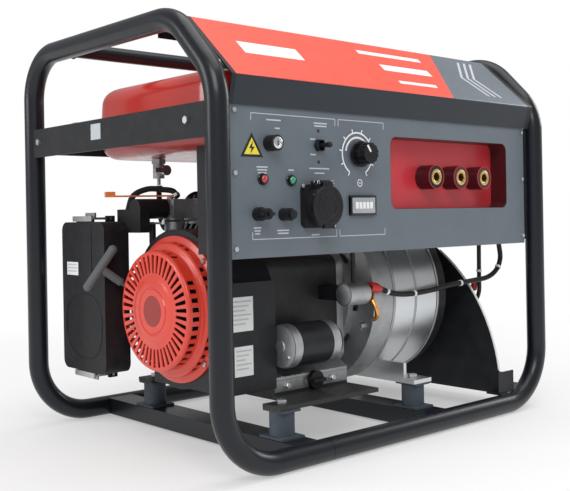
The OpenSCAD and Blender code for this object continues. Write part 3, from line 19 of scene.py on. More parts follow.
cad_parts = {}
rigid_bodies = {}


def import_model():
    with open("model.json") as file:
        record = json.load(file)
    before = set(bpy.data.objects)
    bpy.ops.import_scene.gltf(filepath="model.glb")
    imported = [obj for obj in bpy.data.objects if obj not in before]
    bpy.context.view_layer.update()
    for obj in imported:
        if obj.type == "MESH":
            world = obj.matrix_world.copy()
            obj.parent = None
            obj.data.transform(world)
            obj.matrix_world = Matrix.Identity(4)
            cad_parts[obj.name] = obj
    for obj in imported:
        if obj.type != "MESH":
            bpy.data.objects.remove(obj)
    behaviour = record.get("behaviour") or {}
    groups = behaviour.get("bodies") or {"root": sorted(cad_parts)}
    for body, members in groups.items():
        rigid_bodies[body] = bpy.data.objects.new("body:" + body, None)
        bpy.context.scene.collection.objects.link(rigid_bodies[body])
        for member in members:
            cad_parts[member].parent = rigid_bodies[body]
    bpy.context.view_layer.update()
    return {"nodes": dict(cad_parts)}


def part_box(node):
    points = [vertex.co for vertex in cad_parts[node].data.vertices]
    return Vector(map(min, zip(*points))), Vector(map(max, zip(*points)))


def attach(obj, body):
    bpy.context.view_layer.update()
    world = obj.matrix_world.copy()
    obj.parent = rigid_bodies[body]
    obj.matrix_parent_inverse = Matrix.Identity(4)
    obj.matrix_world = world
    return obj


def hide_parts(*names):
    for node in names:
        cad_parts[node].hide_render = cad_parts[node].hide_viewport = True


LOG = logging.getLogger("welder")
MM = 0.001
Point = Tuple[float, float, float]
Color = Tuple[float, float, float]


class Body(Enum):
    """Rigid bodies of the frame that dressed pieces ride on."""

    MACHINE = "machine"
    LOCK = "lock_core"
    KNOB = "current_knob"
    LID = "socket_lid"


class Pattern(Enum):
    """Extra relief that a finish carries."""

    PLAIN = "plain"
    CAST = "cast"
    BRUSHED = "brushed"


@dataclass(frozen=True)
class Finish:
    """One surface finish.

    Args:
        name: material name.
        color: main colour, linear.
        second: colour of the mottling and wear.
        rough: mean roughness.
        metal: 1 for bare metal.
        mottle: share of the second colour.
        scale: size of the mottling, in waves per metre.
        relief: depth of the fine relief, in metres.
        coat: clear coat weight.
        pattern: kind of relief.
        dust: share of dust on faces that look up.
        vary: spread of the roughness.
        gloss: specular level of the shader.
    """

    name: str
    color: Color
    second: Color
    rough: float = 0.4
    metal: float = 0.0
    mottle: float = 0.25
    scale: float = 40.0
    relief: float = 0.00005
    coat: float = 0.0
    pattern: Pattern = Pattern.PLAIN
    dust: float = 0.06
    vary: float = 0.14
    gloss: float = 0.5


class Paint(Enum):
    """Every finish of the machine."""

    FRAME = Finish("frame_powder", (0.005, 0.007, 0.011), (0.008, 0.010, 0.016), 0.30, 0, 0.25, 40,
                   8e-6, 0.12, dust=0.02, vary=0.05, gloss=0.35)
    CARRIER = Finish("carrier_paint", (0.012, 0.013, 0.016), (0.03, 0.03, 0.034), 0.42, 0, 0.3, 45,
                     4e-5, 0.1, gloss=0.25)
    TANK = Finish("tank_enamel", (0.60, 0.030, 0.020), (0.52, 0.024, 0.017), 0.22, 0, 0.3, 9, 1e-5,
                  0.5, dust=0.02, vary=0.05)
    # Same red enamel as TANK, darkened: painted shade on the lower shell, which sits in shadow.
    TANK_SHADED = Finish("tank_enamel_painted_shade", (0.36, 0.014, 0.012), (0.22, 0.010, 0.009), 0.3, 0, 0.3,
                       12, 3e-5, 0.4)
    PANEL = Finish("panel_print", (0.115, 0.140, 0.165), (0.09, 0.11, 0.13), 0.42, 0, 0.3, 25, 2e-5,
                   0.15)
    HOOD = Finish("hood_enamel", (0.80, 0.072, 0.032), (0.66, 0.05, 0.024), 0.35, 0, 0.25, 8, 2e-5,
                  0.3)
    HOOD_GREY = Finish("hood_grey", (0.12, 0.145, 0.175), (0.095, 0.115, 0.14), 0.38, 0, 0.3, 12,
                       2e-5, 0.2)
    HOOD_LIP = Finish("hood_lip", (0.022, 0.027, 0.034), (0.027, 0.032, 0.040), 0.4, 0, 0.25, 20,
                      8e-6, 0.1, dust=0.02, vary=0.05, gloss=0.25)
    BLACK = Finish("moulded_black", (0.010, 0.010, 0.012), (0.024, 0.024, 0.027), 0.42, 0, 0.35, 70,
                   6e-5, 0.05, gloss=0.25)
    GLOSS_BLACK = Finish("gloss_black", (0.006, 0.006, 0.008), (0.016, 0.016, 0.019), 0.2, 0, 0.3,
                         50, 2e-5, 0.3, gloss=0.25)
    SHROUD = Finish("shroud_black", (0.012, 0.013, 0.016), (0.03, 0.031, 0.035), 0.36, 0, 0.3, 35,
                    5e-5, 0.1, gloss=0.25)
    RECOIL = Finish("recoil_red", (0.72, 0.050, 0.026), (0.52, 0.03, 0.018), 0.28, 0, 0.3, 22, 3e-5,
                    0.35)
    SOCKET = Finish("socket_red", (0.62, 0.035, 0.050), (0.46, 0.02, 0.03), 0.3, 0, 0.25, 30, 2e-5,
                    0.3)
    # Socket red darkened: painted shade inside the socket recess.
    SOCKET_SHADED = Finish("socket_red_painted_shade", (0.060, 0.004, 0.007), (0.03, 0.003, 0.004), 0.4, 0, 0.3,
                         30, 2e-5, 0.1)
    ALLOY = Finish("cast_alloy", (0.50, 0.51, 0.52), (0.32, 0.33, 0.34), 0.42, 1, 0.4, 55, 2.2e-4,
                   0, Pattern.CAST)
    ALLOY_DARK = Finish("cast_alloy_dark", (0.20, 0.205, 0.21), (0.11, 0.11, 0.115), 0.5, 1, 0.45,
                        60, 2.5e-4, 0, Pattern.CAST)
    SHEET = Finish("bright_sheet", (0.66, 0.68, 0.70), (0.58, 0.60, 0.62), 0.30, 1, 0.25, 60, 6e-6,
                   0, Pattern.BRUSHED, 0.02, 0.05)
    STEEL = Finish("zinc_steel", (0.62, 0.63, 0.64), (0.48, 0.48, 0.47), 0.3, 1, 0.4, 90, 4e-5, 0,
                   Pattern.BRUSHED)
    CHROME = Finish("chrome", (0.78, 0.78, 0.79), (0.6, 0.6, 0.6), 0.12, 1, 0.2, 60, 1e-5)
    IRON = Finish("machined_iron", (0.22, 0.22, 0.225), (0.13, 0.12, 0.11), 0.45, 1, 0.45, 60,
                  1.2e-4, 0, Pattern.CAST)
    EXHAUST = Finish("exhaust_plate", (0.34, 0.32, 0.29), (0.20, 0.13, 0.08), 0.48, 1, 0.5, 18,
                     6e-5)
    COPPER = Finish("windings", (0.50, 0.19, 0.07), (0.30, 0.09, 0.03), 0.32, 1, 0.4, 90, 1.5e-4,
                    0.2)
    BRASS = Finish("brass", (0.80, 0.56, 0.24), (0.56, 0.36, 0.12), 0.22, 1, 0.3, 80, 2e-5)
    RUBBER = Finish("rubber", (0.018, 0.020, 0.024), (0.035, 0.038, 0.044), 0.62, 0, 0.35, 60, 8e-5,
                    gloss=0.25)
    MOUNT = Finish("mount_rubber", (0.05, 0.066, 0.085), (0.035, 0.045, 0.06), 0.55, 0, 0.35, 60,
                   8e-5)
    CABLE = Finish("cable_sheath", (0.010, 0.010, 0.011), (0.022, 0.022, 0.024), 0.4, 0, 0.3, 120,
                   3e-5, 0.1, gloss=0.25)
    CABLE_RED = Finish("cable_red", (0.55, 0.02, 0.02), (0.36, 0.014, 0.014), 0.35, 0, 0.3, 120,
                       3e-5, 0.2)
    ORANGE = Finish("orange_moulding", (0.85, 0.22, 0.03), (0.6, 0.13, 0.02), 0.35, 0, 0.3, 80,
                    4e-5, 0.1)
    LABEL = Finish("label_white", (0.80, 0.81, 0.80), (0.64, 0.65, 0.65), 0.45, 0, 0.25, 60, 1e-5)
    PRINT = Finish("print_light", (0.50, 0.54, 0.57), (0.40, 0.43, 0.46), 0.5, 0, 0.3, 150, 1e-5)
    PRINT_WHITE = Finish("print_white", (0.86, 0.87, 0.88), (0.7, 0.72, 0.73), 0.45, 0, 0.2, 150,
                         1e-5)
    PRINT_BLACK = Finish("print_black", (0.008, 0.008, 0.009), (0.02, 0.02, 0.02), 0.45, 0, 0.3,
                         150, 1e-5)
    YELLOW = Finish("warning_yellow", (0.80, 0.66, 0.05), (0.66, 0.52, 0.04), 0.45, 0, 0.2, 90,
                    1e-5)
    LAMP_RED = Finish("lamp_red", (0.50, 0.012, 0.016), (0.36, 0.008, 0.012), 0.12, 0, 0.2, 90,
                      1e-5, 0.7)
    LAMP_GREEN = Finish("lamp_green", (0.010, 0.30, 0.14), (0.006, 0.2, 0.09), 0.12, 0, 0.2, 90,
                        1e-5, 0.7)
    METER = Finish("meter_window", (0.32, 0.34, 0.37), (0.25, 0.27, 0.30), 0.15, 0, 0.2, 60, 1e-5,
                   0.6)
    CERAMIC = Finish("ceramic", (0.78, 0.76, 0.72), (0.6, 0.58, 0.55), 0.25, 0, 0.2, 60, 2e-5, 0.4)
    FILTER = Finish("filter_paper", (0.60, 0.48, 0.22), (0.45, 0.35, 0.15), 0.8, 0, 0.4, 120, 2e-4)
    GRIP = Finish("grip_grey", (0.10, 0.105, 0.11), (0.07, 0.075, 0.08), 0.5, 0, 0.3, 90, 8e-5)
    BATTERY = Finish("battery_case", (0.014, 0.014, 0.016), (0.03, 0.03, 0.032), 0.35, 0, 0.3, 50,
                     5e-5, 0.1, gloss=0.25)
    # Cast case darkened: painted shade on the upper crankcase; the sump's front face keeps a bright
    # alloy skin.
    CASE_SHADED = Finish("case_alloy_painted_shade", (0.030, 0.031, 0.033), (0.055, 0.055, 0.056), 0.45, 0.4, 0.4,
                       45, 1.5e-4, 0, Pattern.CAST)
    BADGE = Finish("badge", (0.30, 0.016, 0.012), (0.22, 0.012, 0.010), 0.35, 0, 0.3, 60, 1e-5, 0.2)
    COPPER_BRIGHT = Finish("copper_lug", (0.88, 0.38, 0.12), (0.6, 0.2, 0.05), 0.25, 1, 0.3, 80,
                           3e-5)
    FLOOR = Finish("studio_floor", (0.86, 0.86, 0.86), (0.83, 0.83, 0.83), 0.55, 0, 0.3, 2, 1e-5, 0,
                   Pattern.PLAIN, 0)


class Shaders:
    """Builds the shared node group once, and one material for each finish."""

    def __init__(self) -> None:
        self._group = self._detail_group()
        self._made: Dict[str, bpy.types.Material] = {}

    @staticmethod
    def _detail_group() -> bpy.types.NodeTree:
        """Makes the group of mottling, dust and fine relief.

        Returns:
            The shader node group.
        """
        tree = bpy.data.node_groups.new("SurfaceDetail", "ShaderNodeTree")
        face = tree.interface
        for name, kind in (
            ("Coordinates", "NodeSocketVector"), ("Base", "NodeSocketColor"),
            ("Second", "NodeSocketColor"), ("Mottle", "NodeSocketFloat"),
            ("Scale", "NodeSocketFloat"), ("Roughness", "NodeSocketFloat"),
            ("Grain", "NodeSocketFloat"), ("Dust", "NodeSocketFloat"),
            ("Vary", "NodeSocketFloat"),
        ):
            face.new_socket(name=name, in_out="INPUT", socket_type=kind)
        for name, kind in (
            ("Color", "NodeSocketColor"), ("Roughness", "NodeSocketFloat"),
            ("Height", "NodeSocketFloat"),
        ):
            face.new_socket(name=name, in_out="OUTPUT", socket_type=kind)
        n, link = tree.nodes, tree.links.new
        inp, out = n.new("NodeGroupInput"), n.new("NodeGroupOutput")

        def noise(detail: float, factor: float) -> bpy.types.Node:
            """Adds a noise texture at the group's scale times factor."""
            times = n.new("ShaderNodeMath")
            times.operation = "MULTIPLY"
            times.inputs[1].default_value = factor
            link(inp.outputs["Scale"], times.inputs[0])
            tex = n.new("ShaderNodeTexNoise")
            tex.inputs["Detail"].default_value = detail
            link(times.outputs[0], tex.inputs["Scale"])
            link(inp.outputs["Coordinates"], tex.inputs["Vector"])
            return tex

        def ramp(low: float, high: float, source, top: float = 1.0) -> bpy.types.Node:
            """Adds a map range from low..high to 0..top."""
            node = n.new("ShaderNodeMapRange")
            node.inputs["From Min"].default_value = low
            node.inputs["From Max"].default_value = high
            node.inputs["To Max"].default_value = top
            link(source, node.inputs["Value"])
            return node

        def math_node(kind: str, a, b) -> bpy.types.Node:
            """Adds a math node; a and b are sockets or numbers."""
            node = n.new("ShaderNodeMath")
            node.operation = kind
            for i, value in enumerate((a, b)):
                if isinstance(value, (int, float)):
                    node.inputs[i].default_value = value
                else:
                    link(value, node.inputs[i])
            return node

        def mix(fac, a, b) -> bpy.types.Node:
            """Adds a colour mix."""
            node = n.new("ShaderNodeMixRGB")
            link(fac, node.inputs["Fac"])
            link(a, node.inputs["Color1"])
            if isinstance(b, tuple):
                node.inputs["Color2"].default_value = b
            else:
                link(b, node.inputs["Color2"])
            return node

        broad, fine, grain = noise(5, 1.0), noise(3, 6.0), noise(2, 28.0)
        spots = ramp(0.42, 0.66, broad.outputs["Fac"])
        share = math_node("MULTIPLY", spots.outputs["Result"], inp.outputs["Mottle"])
        mixed = mix(share.outputs[0], inp.outputs["Base"], inp.outputs["Second"])
        geo = n.new("ShaderNodeNewGeometry")
        split = n.new("ShaderNodeSeparateXYZ")
        link(geo.outputs["Normal"], split.inputs[0])
        up = ramp(0.6, 1.0, split.outputs["Z"])
        speck = ramp(0.45, 0.7, fine.outputs["Fac"])
        dusty = math_node("MULTIPLY", up.outputs["Result"], speck.outputs["Result"])
        dust = math_node("MULTIPLY", dusty.outputs[0], inp.outputs["Dust"])
        dusted = mix(dust.outputs[0], mixed.outputs["Color"], (0.45, 0.42, 0.38, 1.0))
        link(dusted.outputs["Color"], out.inputs["Color"])
        spread = ramp(0.3, 0.7, fine.outputs["Fac"])
        spread = math_node("MULTIPLY", spread.outputs["Result"], inp.outputs["Vary"])
        rough = math_node("ADD", inp.outputs["Roughness"], spread.outputs[0])
        rougher = math_node("ADD", rough.outputs[0], dust.outputs[0])
        link(rougher.outputs[0], out.inputs["Roughness"])
        blend = math_node("MULTIPLY", grain.outputs["Fac"], inp.outputs["Grain"])
        total = math_node("ADD", blend.outputs[0], fine.outputs["Fac"])
        link(total.outputs[0], out.inputs["Height"])
        return tree

    def material(self, finish: Finish) -> bpy.types.Material:
        """Gives the material of a finish, made at first use.

        Args:
            finish: the finish.

        Returns:
            The material.
        """
        if finish.name in self._made:
            return self._made[finish.name]
        mat = bpy.data.materials.new(finish.name)
        mat.use_nodes = True
        tree = mat.node_tree
        n, link = tree.nodes, tree.links.new
        bsdf = n["Principled BSDF"]
        coords = n.new("ShaderNodeTexCoord")
        group = n.new("ShaderNodeGroup")
        group.node_tree = self._group
        source = coords.outputs["Object"]
        if finish.pattern is Pattern.BRUSHED:
            stretch = n.new("ShaderNodeMapping")
            stretch.inputs["Scale"].default_value = (0.15, 1.0, 1.0)
            link(source, stretch.inputs["Vector"])
            source = stretch.outputs["Vector"]
        link(source, group.inputs["Coordinates"])
        group.inputs["Base"].default_value = (*finish.color, 1.0)
        group.inputs["Second"].default_value = (*finish.second, 1.0)
        grain = 2.0 if finish.pattern is Pattern.CAST else 0.7
        for name, value in (("Mottle", finish.mottle), ("Scale", finish.scale),
                            ("Roughness", finish.rough),
                            ("Grain", grain), ("Dust", finish.dust), ("Vary", finish.vary)):
            group.inputs[name].default_value = value
        link(group.outputs["Color"], bsdf.inputs["Base Color"])
        link(group.outputs["Roughness"], bsdf.inputs["Roughness"])
        bsdf.inputs["Metallic"].default_value = finish.metal
        bsdf.inputs["Coat Weight"].default_value = finish.coat
        bsdf.inputs["Specular IOR Level"].default_value = finish.gloss
        bsdf.inputs["Coat Roughness"].default_value = 0.12
        bump = n.new("ShaderNodeBump")
        bump.inputs["Strength"].default_value = 0.55
        bump.inputs["Distance"].default_value = finish.relief
        link(group.outputs["Height"], bump.inputs["Height"])
        link(bump.outputs["Normal"], bsdf.inputs["Normal"])
        mat.diffuse_color = (*finish.color, 1.0)
        self._made[finish.name] = mat
        return mat


class Shop:
    """Makes mesh pieces in the row frame and hangs them on a body."""

    def __init__(self, shaders: Shaders) -> None:
        self.shaders = shaders
        self.count = 0

    def piece(self, name: str, bm: bmesh.types.BMesh, paint: Paint, body: Body = Body.MACHINE,
              replaces: Sequence[str] = (), smooth: float = 35.0) -> bpy.types.Object:
        """Turns a bmesh into a finished piece.

        Args:
            name: piece name.
            bm: the mesh, in metres in the row frame; freed here.
            paint: its finish.
            body: the body it rides on.
            replaces: CAD nodes that it stands for.
            smooth: edges under this angle are shaded smooth, in degrees.

        Returns:
            The object.
        """
        bmesh.ops.recalc_face_normals(bm, faces=bm.faces)
        limit = math.radians(smooth)
        for face in bm.faces:
            face.smooth = True
        for edge in bm.edges:
            edge.smooth = len(edge.link_faces) == 2 and edge.calc_face_angle(0.0) < limit
        mesh = bpy.data.meshes.new(name)
        bm.to_mesh(mesh)
        bm.free()
        mesh.materials.append(self.shaders.material(paint.value))
        obj = bpy.data.objects.new(name, mesh)
        bpy.context.scene.collection.objects.link(obj)
        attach(obj, body.value)
        if replaces:
            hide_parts(*replaces)
        self.count += 1
        LOG.info("piece %s: %d faces, %s", name, len(mesh.polygons), paint.value.name)
        return obj


# ---------- mesh code ----------

def frame_at(axis: Vector) -> Matrix:
    """A rotation whose third column is axis.

    Args:
        axis: direction of the local Z.

    Returns:
        The 3 by 3 rotation.
    """
    z = axis.normalized()
    helper = Vector((0, 0, 1)) if abs(z.z) < 0.9 else Vector((1, 0, 0))
    x = helper.cross(z).normalized()
    return Matrix((x, z.cross(x), z)).transposed()


def scaled(pairs: Iterable[Tuple[float, float]]) -> List[Tuple[float, float]]:
    """A profile's (distance, radius) pairs, from millimetres to metres."""
    return [(h * MM, r * MM) for h, r in pairs]


def add_revolve(bm: bmesh.types.BMesh, origin: Vector, axis: Vector,
                profile: Sequence[Tuple[float, float]], sides: int = 48,
                wave: Callable[[float, int], float] = lambda a, i: 0.0) -> None:
    """Adds a surface of revolution, closed at its ends where the radius is 0.

    Args:
        bm: target mesh.
        origin: point on the axis.
        axis: direction of the axis.
        profile: (distance along the axis, radius) pairs.
        sides: segments round the axis.
        wave: extra radius at an angle and a profile index.
    """
    rot = frame_at(axis)
    rings: List[List[bmesh.types.BMVert]] = []
    for i, (h, r) in enumerate(profile):
        if r <= 1e-7:
            rings.append([bm.verts.new(origin + rot @ Vector((0, 0, h)))])
            continue
        ring = []
        for k in range(sides):
            a = 2 * math.pi * k / sides
            rr = r + wave(a, i)
            ring.append(bm.verts.new(origin + rot @ Vector((rr * math.cos(a), rr * math.sin(a),
                                                            h))))
        rings.append(ring)
    for one, two in zip(rings, rings[1:]):
        for k in range(sides):
            a, b = one[k % len(one)], one[(k + 1) % len(one)]
            c, d = two[(k + 1) % len(two)], two[k % len(two)]
            corners = [v for j, v in enumerate((a, b, c, d)) if v not in (a, b, c, d)[:j]]
            if len(corners) > 2:
                bm.faces.new(corners)


def join_rings(bm: bmesh.types.BMesh,
               pairs: Iterable[Tuple[List[bmesh.types.BMVert], List[bmesh.types.BMVert]]]) -> None:
    """Adds the faces between each pair of rings of equal length."""
    for one, two in pairs:
        for k in range(len(one)):
            j = (k + 1) % len(one)
            bm.faces.new((one[k], one[j], two[j], two[k]))


def add_tube(bm: bmesh.types.BMesh, path: Sequence[Vector], radius: float, sides: int = 16,
             closed_ends: bool = True) -> None:
    """Adds a round tube along a path with parallel-transported rings.

    Args:
        bm: target mesh.
        path: centreline points.
        radius: tube radius.
        sides: segments round.
        closed_ends: whether both ends are capped.
    """
    n = len(path)
    tangents = [(path[min(i + 1, n - 1)] - path[max(i - 1, 0)]).normalized() for i in range(n)]
    normal = frame_at(tangents[0]).col[0].copy()
    rings = []
    for i, p in enumerate(path):
        normal = (normal - tangents[i] * normal.dot(tangents[i])).normalized()
        other = tangents[i].cross(normal)
        rings.append([
            bm.verts.new(p + radius
                         * (math.cos(2 * math.pi * k / sides) * normal
                            + math.sin(2 * math.pi * k / sides) * other))
            for k in range(sides)
        ])
    join_rings(bm, zip(rings, rings[1:]))
    if closed_ends:
        bm.faces.new(list(reversed(rings[0])))
        bm.faces.new(rings[-1])


def smooth_path(points: Sequence[Point], steps: int = 8) -> List[Vector]:
    """Catmull-Rom curve through points given in millimetres.

    Args:
        points: corner points in millimetres.
        steps: segments between neighbours.

    Returns:
        Points in metres.
    """
    p = [Vector(q) * MM for q in points]
    out = []
    for i in range(len(p) - 1):
        a, b, c, d = p[max(i - 1, 0)], p[i], p[i + 1], p[min(i + 2, len(p) - 1)]
        for k in range(steps):
            t = k / steps
            out.append(0.5
                       * (2 * b + (c - a) * t + (2 * a - 5 * b + 4 * c - d) * t * t
                          + (3 * b - a - 3 * c + d) * t ** 3))
    out.append(p[-1])
    return out


def fillet_path(points: Sequence[Vector], radii: Sequence[float],
                step: float = 4.0) -> List[Vector]:
    """Polyline with circular bends at its inner corners.

    Args:
        points: corner points.
        radii: bend radius at each point; the ends are not used.
        step: degrees between points of a bend.

    Returns:
        The dense centreline.
    """
    out = [points[0]]
    for i in range(1, len(points) - 1):
        d0 = (points[i] - points[i - 1]).normalized()
        d1 = (points[i + 1] - points[i]).normalized()
        turn = d0.angle(d1)
        cut = radii[i] * math.tan(turn / 2)
        start = points[i] - d0 * cut
        side = (d1 - d0 * d0.dot(d1)).normalized()
        centre = start + side * radii[i]
        count = max(2, int(math.degrees(turn) / step))
        for k in range(count + 1):
            a = turn * k / count
            out.append(centre + radii[i] * (math.sin(a) * d0 - math.cos(a) * side))
    out.append(points[-1])
    return out


def add_box(bm: bmesh.types.BMesh, low: Sequence[float], high: Sequence[float], edge: float = 0.0,
            turn: Matrix = Matrix.Identity(4)) -> None:
    """Adds a box, its edges bevelled, from two corners in metres.

    Args:
        bm: target mesh.
        low: lowest corner.
        high: highest corner.
        edge: bevel width.
        turn: transform applied after.
    """
    part = bmesh.new()
    size = [max(b - a, 1e-5) for a, b in zip(low, high)]
    mid = [(a + b) / 2 for a, b in zip(low, high)]
    bmesh.ops.create_cube(part, size=1.0,
                          matrix=Matrix.LocRotScale(Vector(mid), None, Vector(size)))
    if edge > 0:
        bmesh.ops.bevel(part, geom=list(part.edges), offset=min(edge, min(size) * 0.45), segments=2,
                        affect="EDGES", profile=0.5)
    merge(bm, part, turn)


def add_plate(bm: bmesh.types.BMesh, outline: Sequence[Vector], depth: Vector,
              edge: float = 0.0) -> None:
    """Adds a plate from a flat outline swept by depth.

    Args:
        bm: target mesh.
        outline: corner points in order.
        depth: sweep vector.
        edge: bevel of the rim.
    """
    part = bmesh.new()
    low = [part.verts.new(p) for p in outline]
    high = [part.verts.new(p + depth) for p in outline]
    part.faces.new(list(reversed(low)))
    part.faces.new(high)
    for k in range(len(low)):
        j = (k + 1) % len(low)
        part.faces.new((low[k], low[j], high[j], high[k]))
    if edge > 0:
        bmesh.ops.recalc_face_normals(part, faces=part.faces)
        sharp = [e for e in part.edges if e.calc_face_angle(0.0) > 1.0]
        bmesh.ops.bevel(part, geom=sharp, offset=edge, segments=2, affect="EDGES", profile=0.5)
    merge(bm, part)


def merge(bm: bmesh.types.BMesh, part: bmesh.types.BMesh,
          turn: Matrix = Matrix.Identity(4)) -> None:
    """Moves a part's geometry into bm and frees the part.

    Args:
        bm: target mesh.
        part: source mesh.
        turn: transform applied on the way.
    """
    table = {v: bm.verts.new(turn @ v.co) for v in part.verts}
    for face in part.faces:
        bm.faces.new([table[v] for v in face.verts])
    part.free()


def rounded(w: float, h: float, r: float, steps: int = 6) -> List[Tuple[float, float]]:
    """Outline of a rounded rectangle from (0, 0).

    Args:
        w: width.
        h: height.
        r: corner radius.
        steps: segments in a corner.

    Returns:
        Counter-clockwise points.
    """
    out = []
    for cx, cy, a0 in ((w - r, r, -90), (w - r, h - r, 0), (r, h - r, 90), (r, r, 180)):
        for k in range(steps + 1):
            a = math.radians(a0 + 90 * k / steps)
            out.append((cx + r * math.cos(a), cy + r * math.sin(a)))
    return out


class RadialRepeat:
    """Geometry Nodes group that repeats a mesh round the X axis."""

    def __init__(self) -> None:
        tree = bpy.data.node_groups.new("RadialRepeat", "GeometryNodeTree")
        tree.is_modifier = True
        face = tree.interface
        face.new_socket(name="Geometry", in_out="INPUT", socket_type="NodeSocketGeometry")
        self.count_id, self.start_id, self.sweep_id, self.mat_id = (
            face.new_socket(name=name, in_out="INPUT", socket_type="NodeSocket" + kind).identifier
            for name,
            kind in (("Count", "Int"), ("Start", "Float"), ("Sweep", "Float"),
                     ("Material", "Material"))
        )
        face.new_socket(name="Geometry", in_out="OUTPUT", socket_type="NodeSocketGeometry")
        n, link = tree.nodes, tree.links.new
        inp, out = n.new("NodeGroupInput"), n.new("NodeGroupOutput")
        points = n.new("GeometryNodePoints")
        link(inp.outputs["Count"], points.inputs["Count"])
        index = n.new("GeometryNodeInputIndex")
        share = n.new("ShaderNodeMath")
        share.operation = "DIVIDE"
        link(index.outputs[0], share.inputs[0])
        link(inp.outputs["Count"], share.inputs[1])
        angle = n.new("ShaderNodeMath")
        angle.operation = "MULTIPLY_ADD"
        link(share.outputs[0], angle.inputs[0])
        link(inp.outputs["Sweep"], angle.inputs[1])
        link(inp.outputs["Start"], angle.inputs[2])
        vector = n.new("ShaderNodeCombineXYZ")
        link(angle.outputs[0], vector.inputs["X"])
        copies = n.new("GeometryNodeInstanceOnPoints")
        link(points.outputs[0], copies.inputs["Points"])
        link(inp.outputs["Geometry"], copies.inputs["Instance"])
        link(vector.outputs[0], copies.inputs["Rotation"])
        real = n.new("GeometryNodeRealizeInstances")
        link(copies.outputs[0], real.inputs[0])
        paint = n.new("GeometryNodeSetMaterial")
        link(real.outputs[0], paint.inputs["Geometry"])
        link(inp.outputs["Material"], paint.inputs["Material"])
        link(paint.outputs[0], out.inputs[0])
        self.tree = tree

    def build(self, shop: Shop, name: str, seed: bmesh.types.BMesh, centre: Vector, count: int,
              paint: Paint, start: float = 0.0) -> None:
        """Repeats a seed mesh round an X axis and makes one piece of it.

        Args:
            shop: piece maker.
            name: piece name.
            seed: mesh about the origin; freed here.
            centre: a point on the axis.
            count: number of copies.
            paint: finish.
            start: first angle in degrees.
        """
        bmesh.ops.recalc_face_normals(seed, faces=seed.faces)
        mesh = bpy.data.meshes.new(name + "_seed")
        seed.to_mesh(mesh)
        seed.free()
        source = bpy.data.objects.new(name + "_seed", mesh)
        bpy.context.scene.collection.objects.link(source)
        mod = source.modifiers.new("repeat", "NODES")
        mod.node_group = self.tree
        mod[self.count_id] = count
        mod[self.start_id] = math.radians(start)
        mod[self.sweep_id] = 2 * math.pi
        mod[self.mat_id] = shop.shaders.material(paint.value)
        graph = bpy.context.evaluated_depsgraph_get()
        made = bpy.data.meshes.new_from_object(source.evaluated_get(graph))
        bpy.data.objects.remove(source)
        bm = bmesh.new()
        bm.from_mesh(made)
        bpy.data.meshes.remove(made)
        bmesh.ops.translate(bm, verts=bm.verts, vec=centre)
        shop.piece(name, bm, paint)


# ---------- sub-assemblies ----------

CAD_FINISH: Dict[str, Paint] = {
    "cross_members": Paint.FRAME, "frame_hoop_left": Paint.FRAME, "frame_hoop_right": Paint.FRAME,
    "tank_end_plates": Paint.CARRIER, "tank_rails": Paint.CARRIER, "rubber_mounts": Paint.MOUNT,
    "assembly_bolts": Paint.STEEL, "fuel_tank_upper": Paint.TANK,
    # Lower shell: the red enamel darkened, painted shade.
    "fuel_tank_lower": Paint.TANK_SHADED,
    "fuel_cap": Paint.BLACK, "fuel_cock": Paint.ALLOY, "fuel_cock_lever": Paint.STEEL,
    # Crankcase: cast case darkened, painted shade.
    "hoses": Paint.RUBBER, "crankcase": Paint.CASE_SHADED, "crankcase_cover": Paint.ALLOY,
    "cylinder_head": Paint.ALLOY_DARK, "rocker_cover": Paint.SHROUD, "spark_plug": Paint.CERAMIC,
    "plug_lead": Paint.CABLE, "fan_shroud": Paint.SHROUD, "flywheel": Paint.IRON,
    "crankshaft": Paint.STEEL, "bearings": Paint.STEEL, "recoil_cover": Paint.RECOIL,
    "recoil_pulley": Paint.BLACK, "recoil_handle": Paint.GRIP, "carburettor": Paint.ALLOY,
    "choke_lever": Paint.ORANGE, "throttle_lever": Paint.STEEL, "governor_arm": Paint.STEEL,
    "governor_rod": Paint.STEEL, "air_cleaner_case": Paint.BLACK, "air_cleaner_cover": Paint.BLACK,
    "air_filter_element": Paint.FILTER, "latch_clip_top": Paint.STEEL,
    "latch_clip_bottom": Paint.STEEL,
    "muffler": Paint.EXHAUST, "oil_cap": Paint.BLACK, "starter_motor": Paint.SHROUD,
    "alternator_front_bell": Paint.ALLOY, "stator_housing": Paint.SHEET,
    "stator_core": Paint.COPPER,
    "rotor": Paint.COPPER, "alternator_end_cover": Paint.BLACK, "control_panel": Paint.PANEL,
    # Sockets in the recess take the darkened socket red, painted shade.
    "socket_tray": Paint.SOCKET, "weld_sockets": Paint.SOCKET_SHADED, "hood": Paint.HOOD,
    "control_box": Paint.CARRIER, "panel_fittings": Paint.BLACK, "lock_core": Paint.CHROME,
    "toggle_lever": Paint.BLACK, "current_knob": Paint.GLOSS_BLACK, "ac_socket": Paint.BLACK,
    "socket_lid": Paint.GLOSS_BLACK, "breaker_button": Paint.BLACK, "earth_nut": Paint.BLACK,
    "battery": Paint.BATTERY, "battery_tray": Paint.CARRIER, "wiring_loom": Paint.CABLE,
}


@dataclass
class CadDress:
    """Gives every CAD node its finish."""

    shop: Shop
    nodes: Dict[str, bpy.types.Object]

    def dress(self) -> None:
        """Assigns the materials."""
        for name, obj in self.nodes.items():
            obj.data.materials.clear()
            obj.data.materials.append(self.shop.shaders.material(CAD_FINISH[name].value))
            LOG.info("finish %s: %s", name, CAD_FINISH[name].value.name)


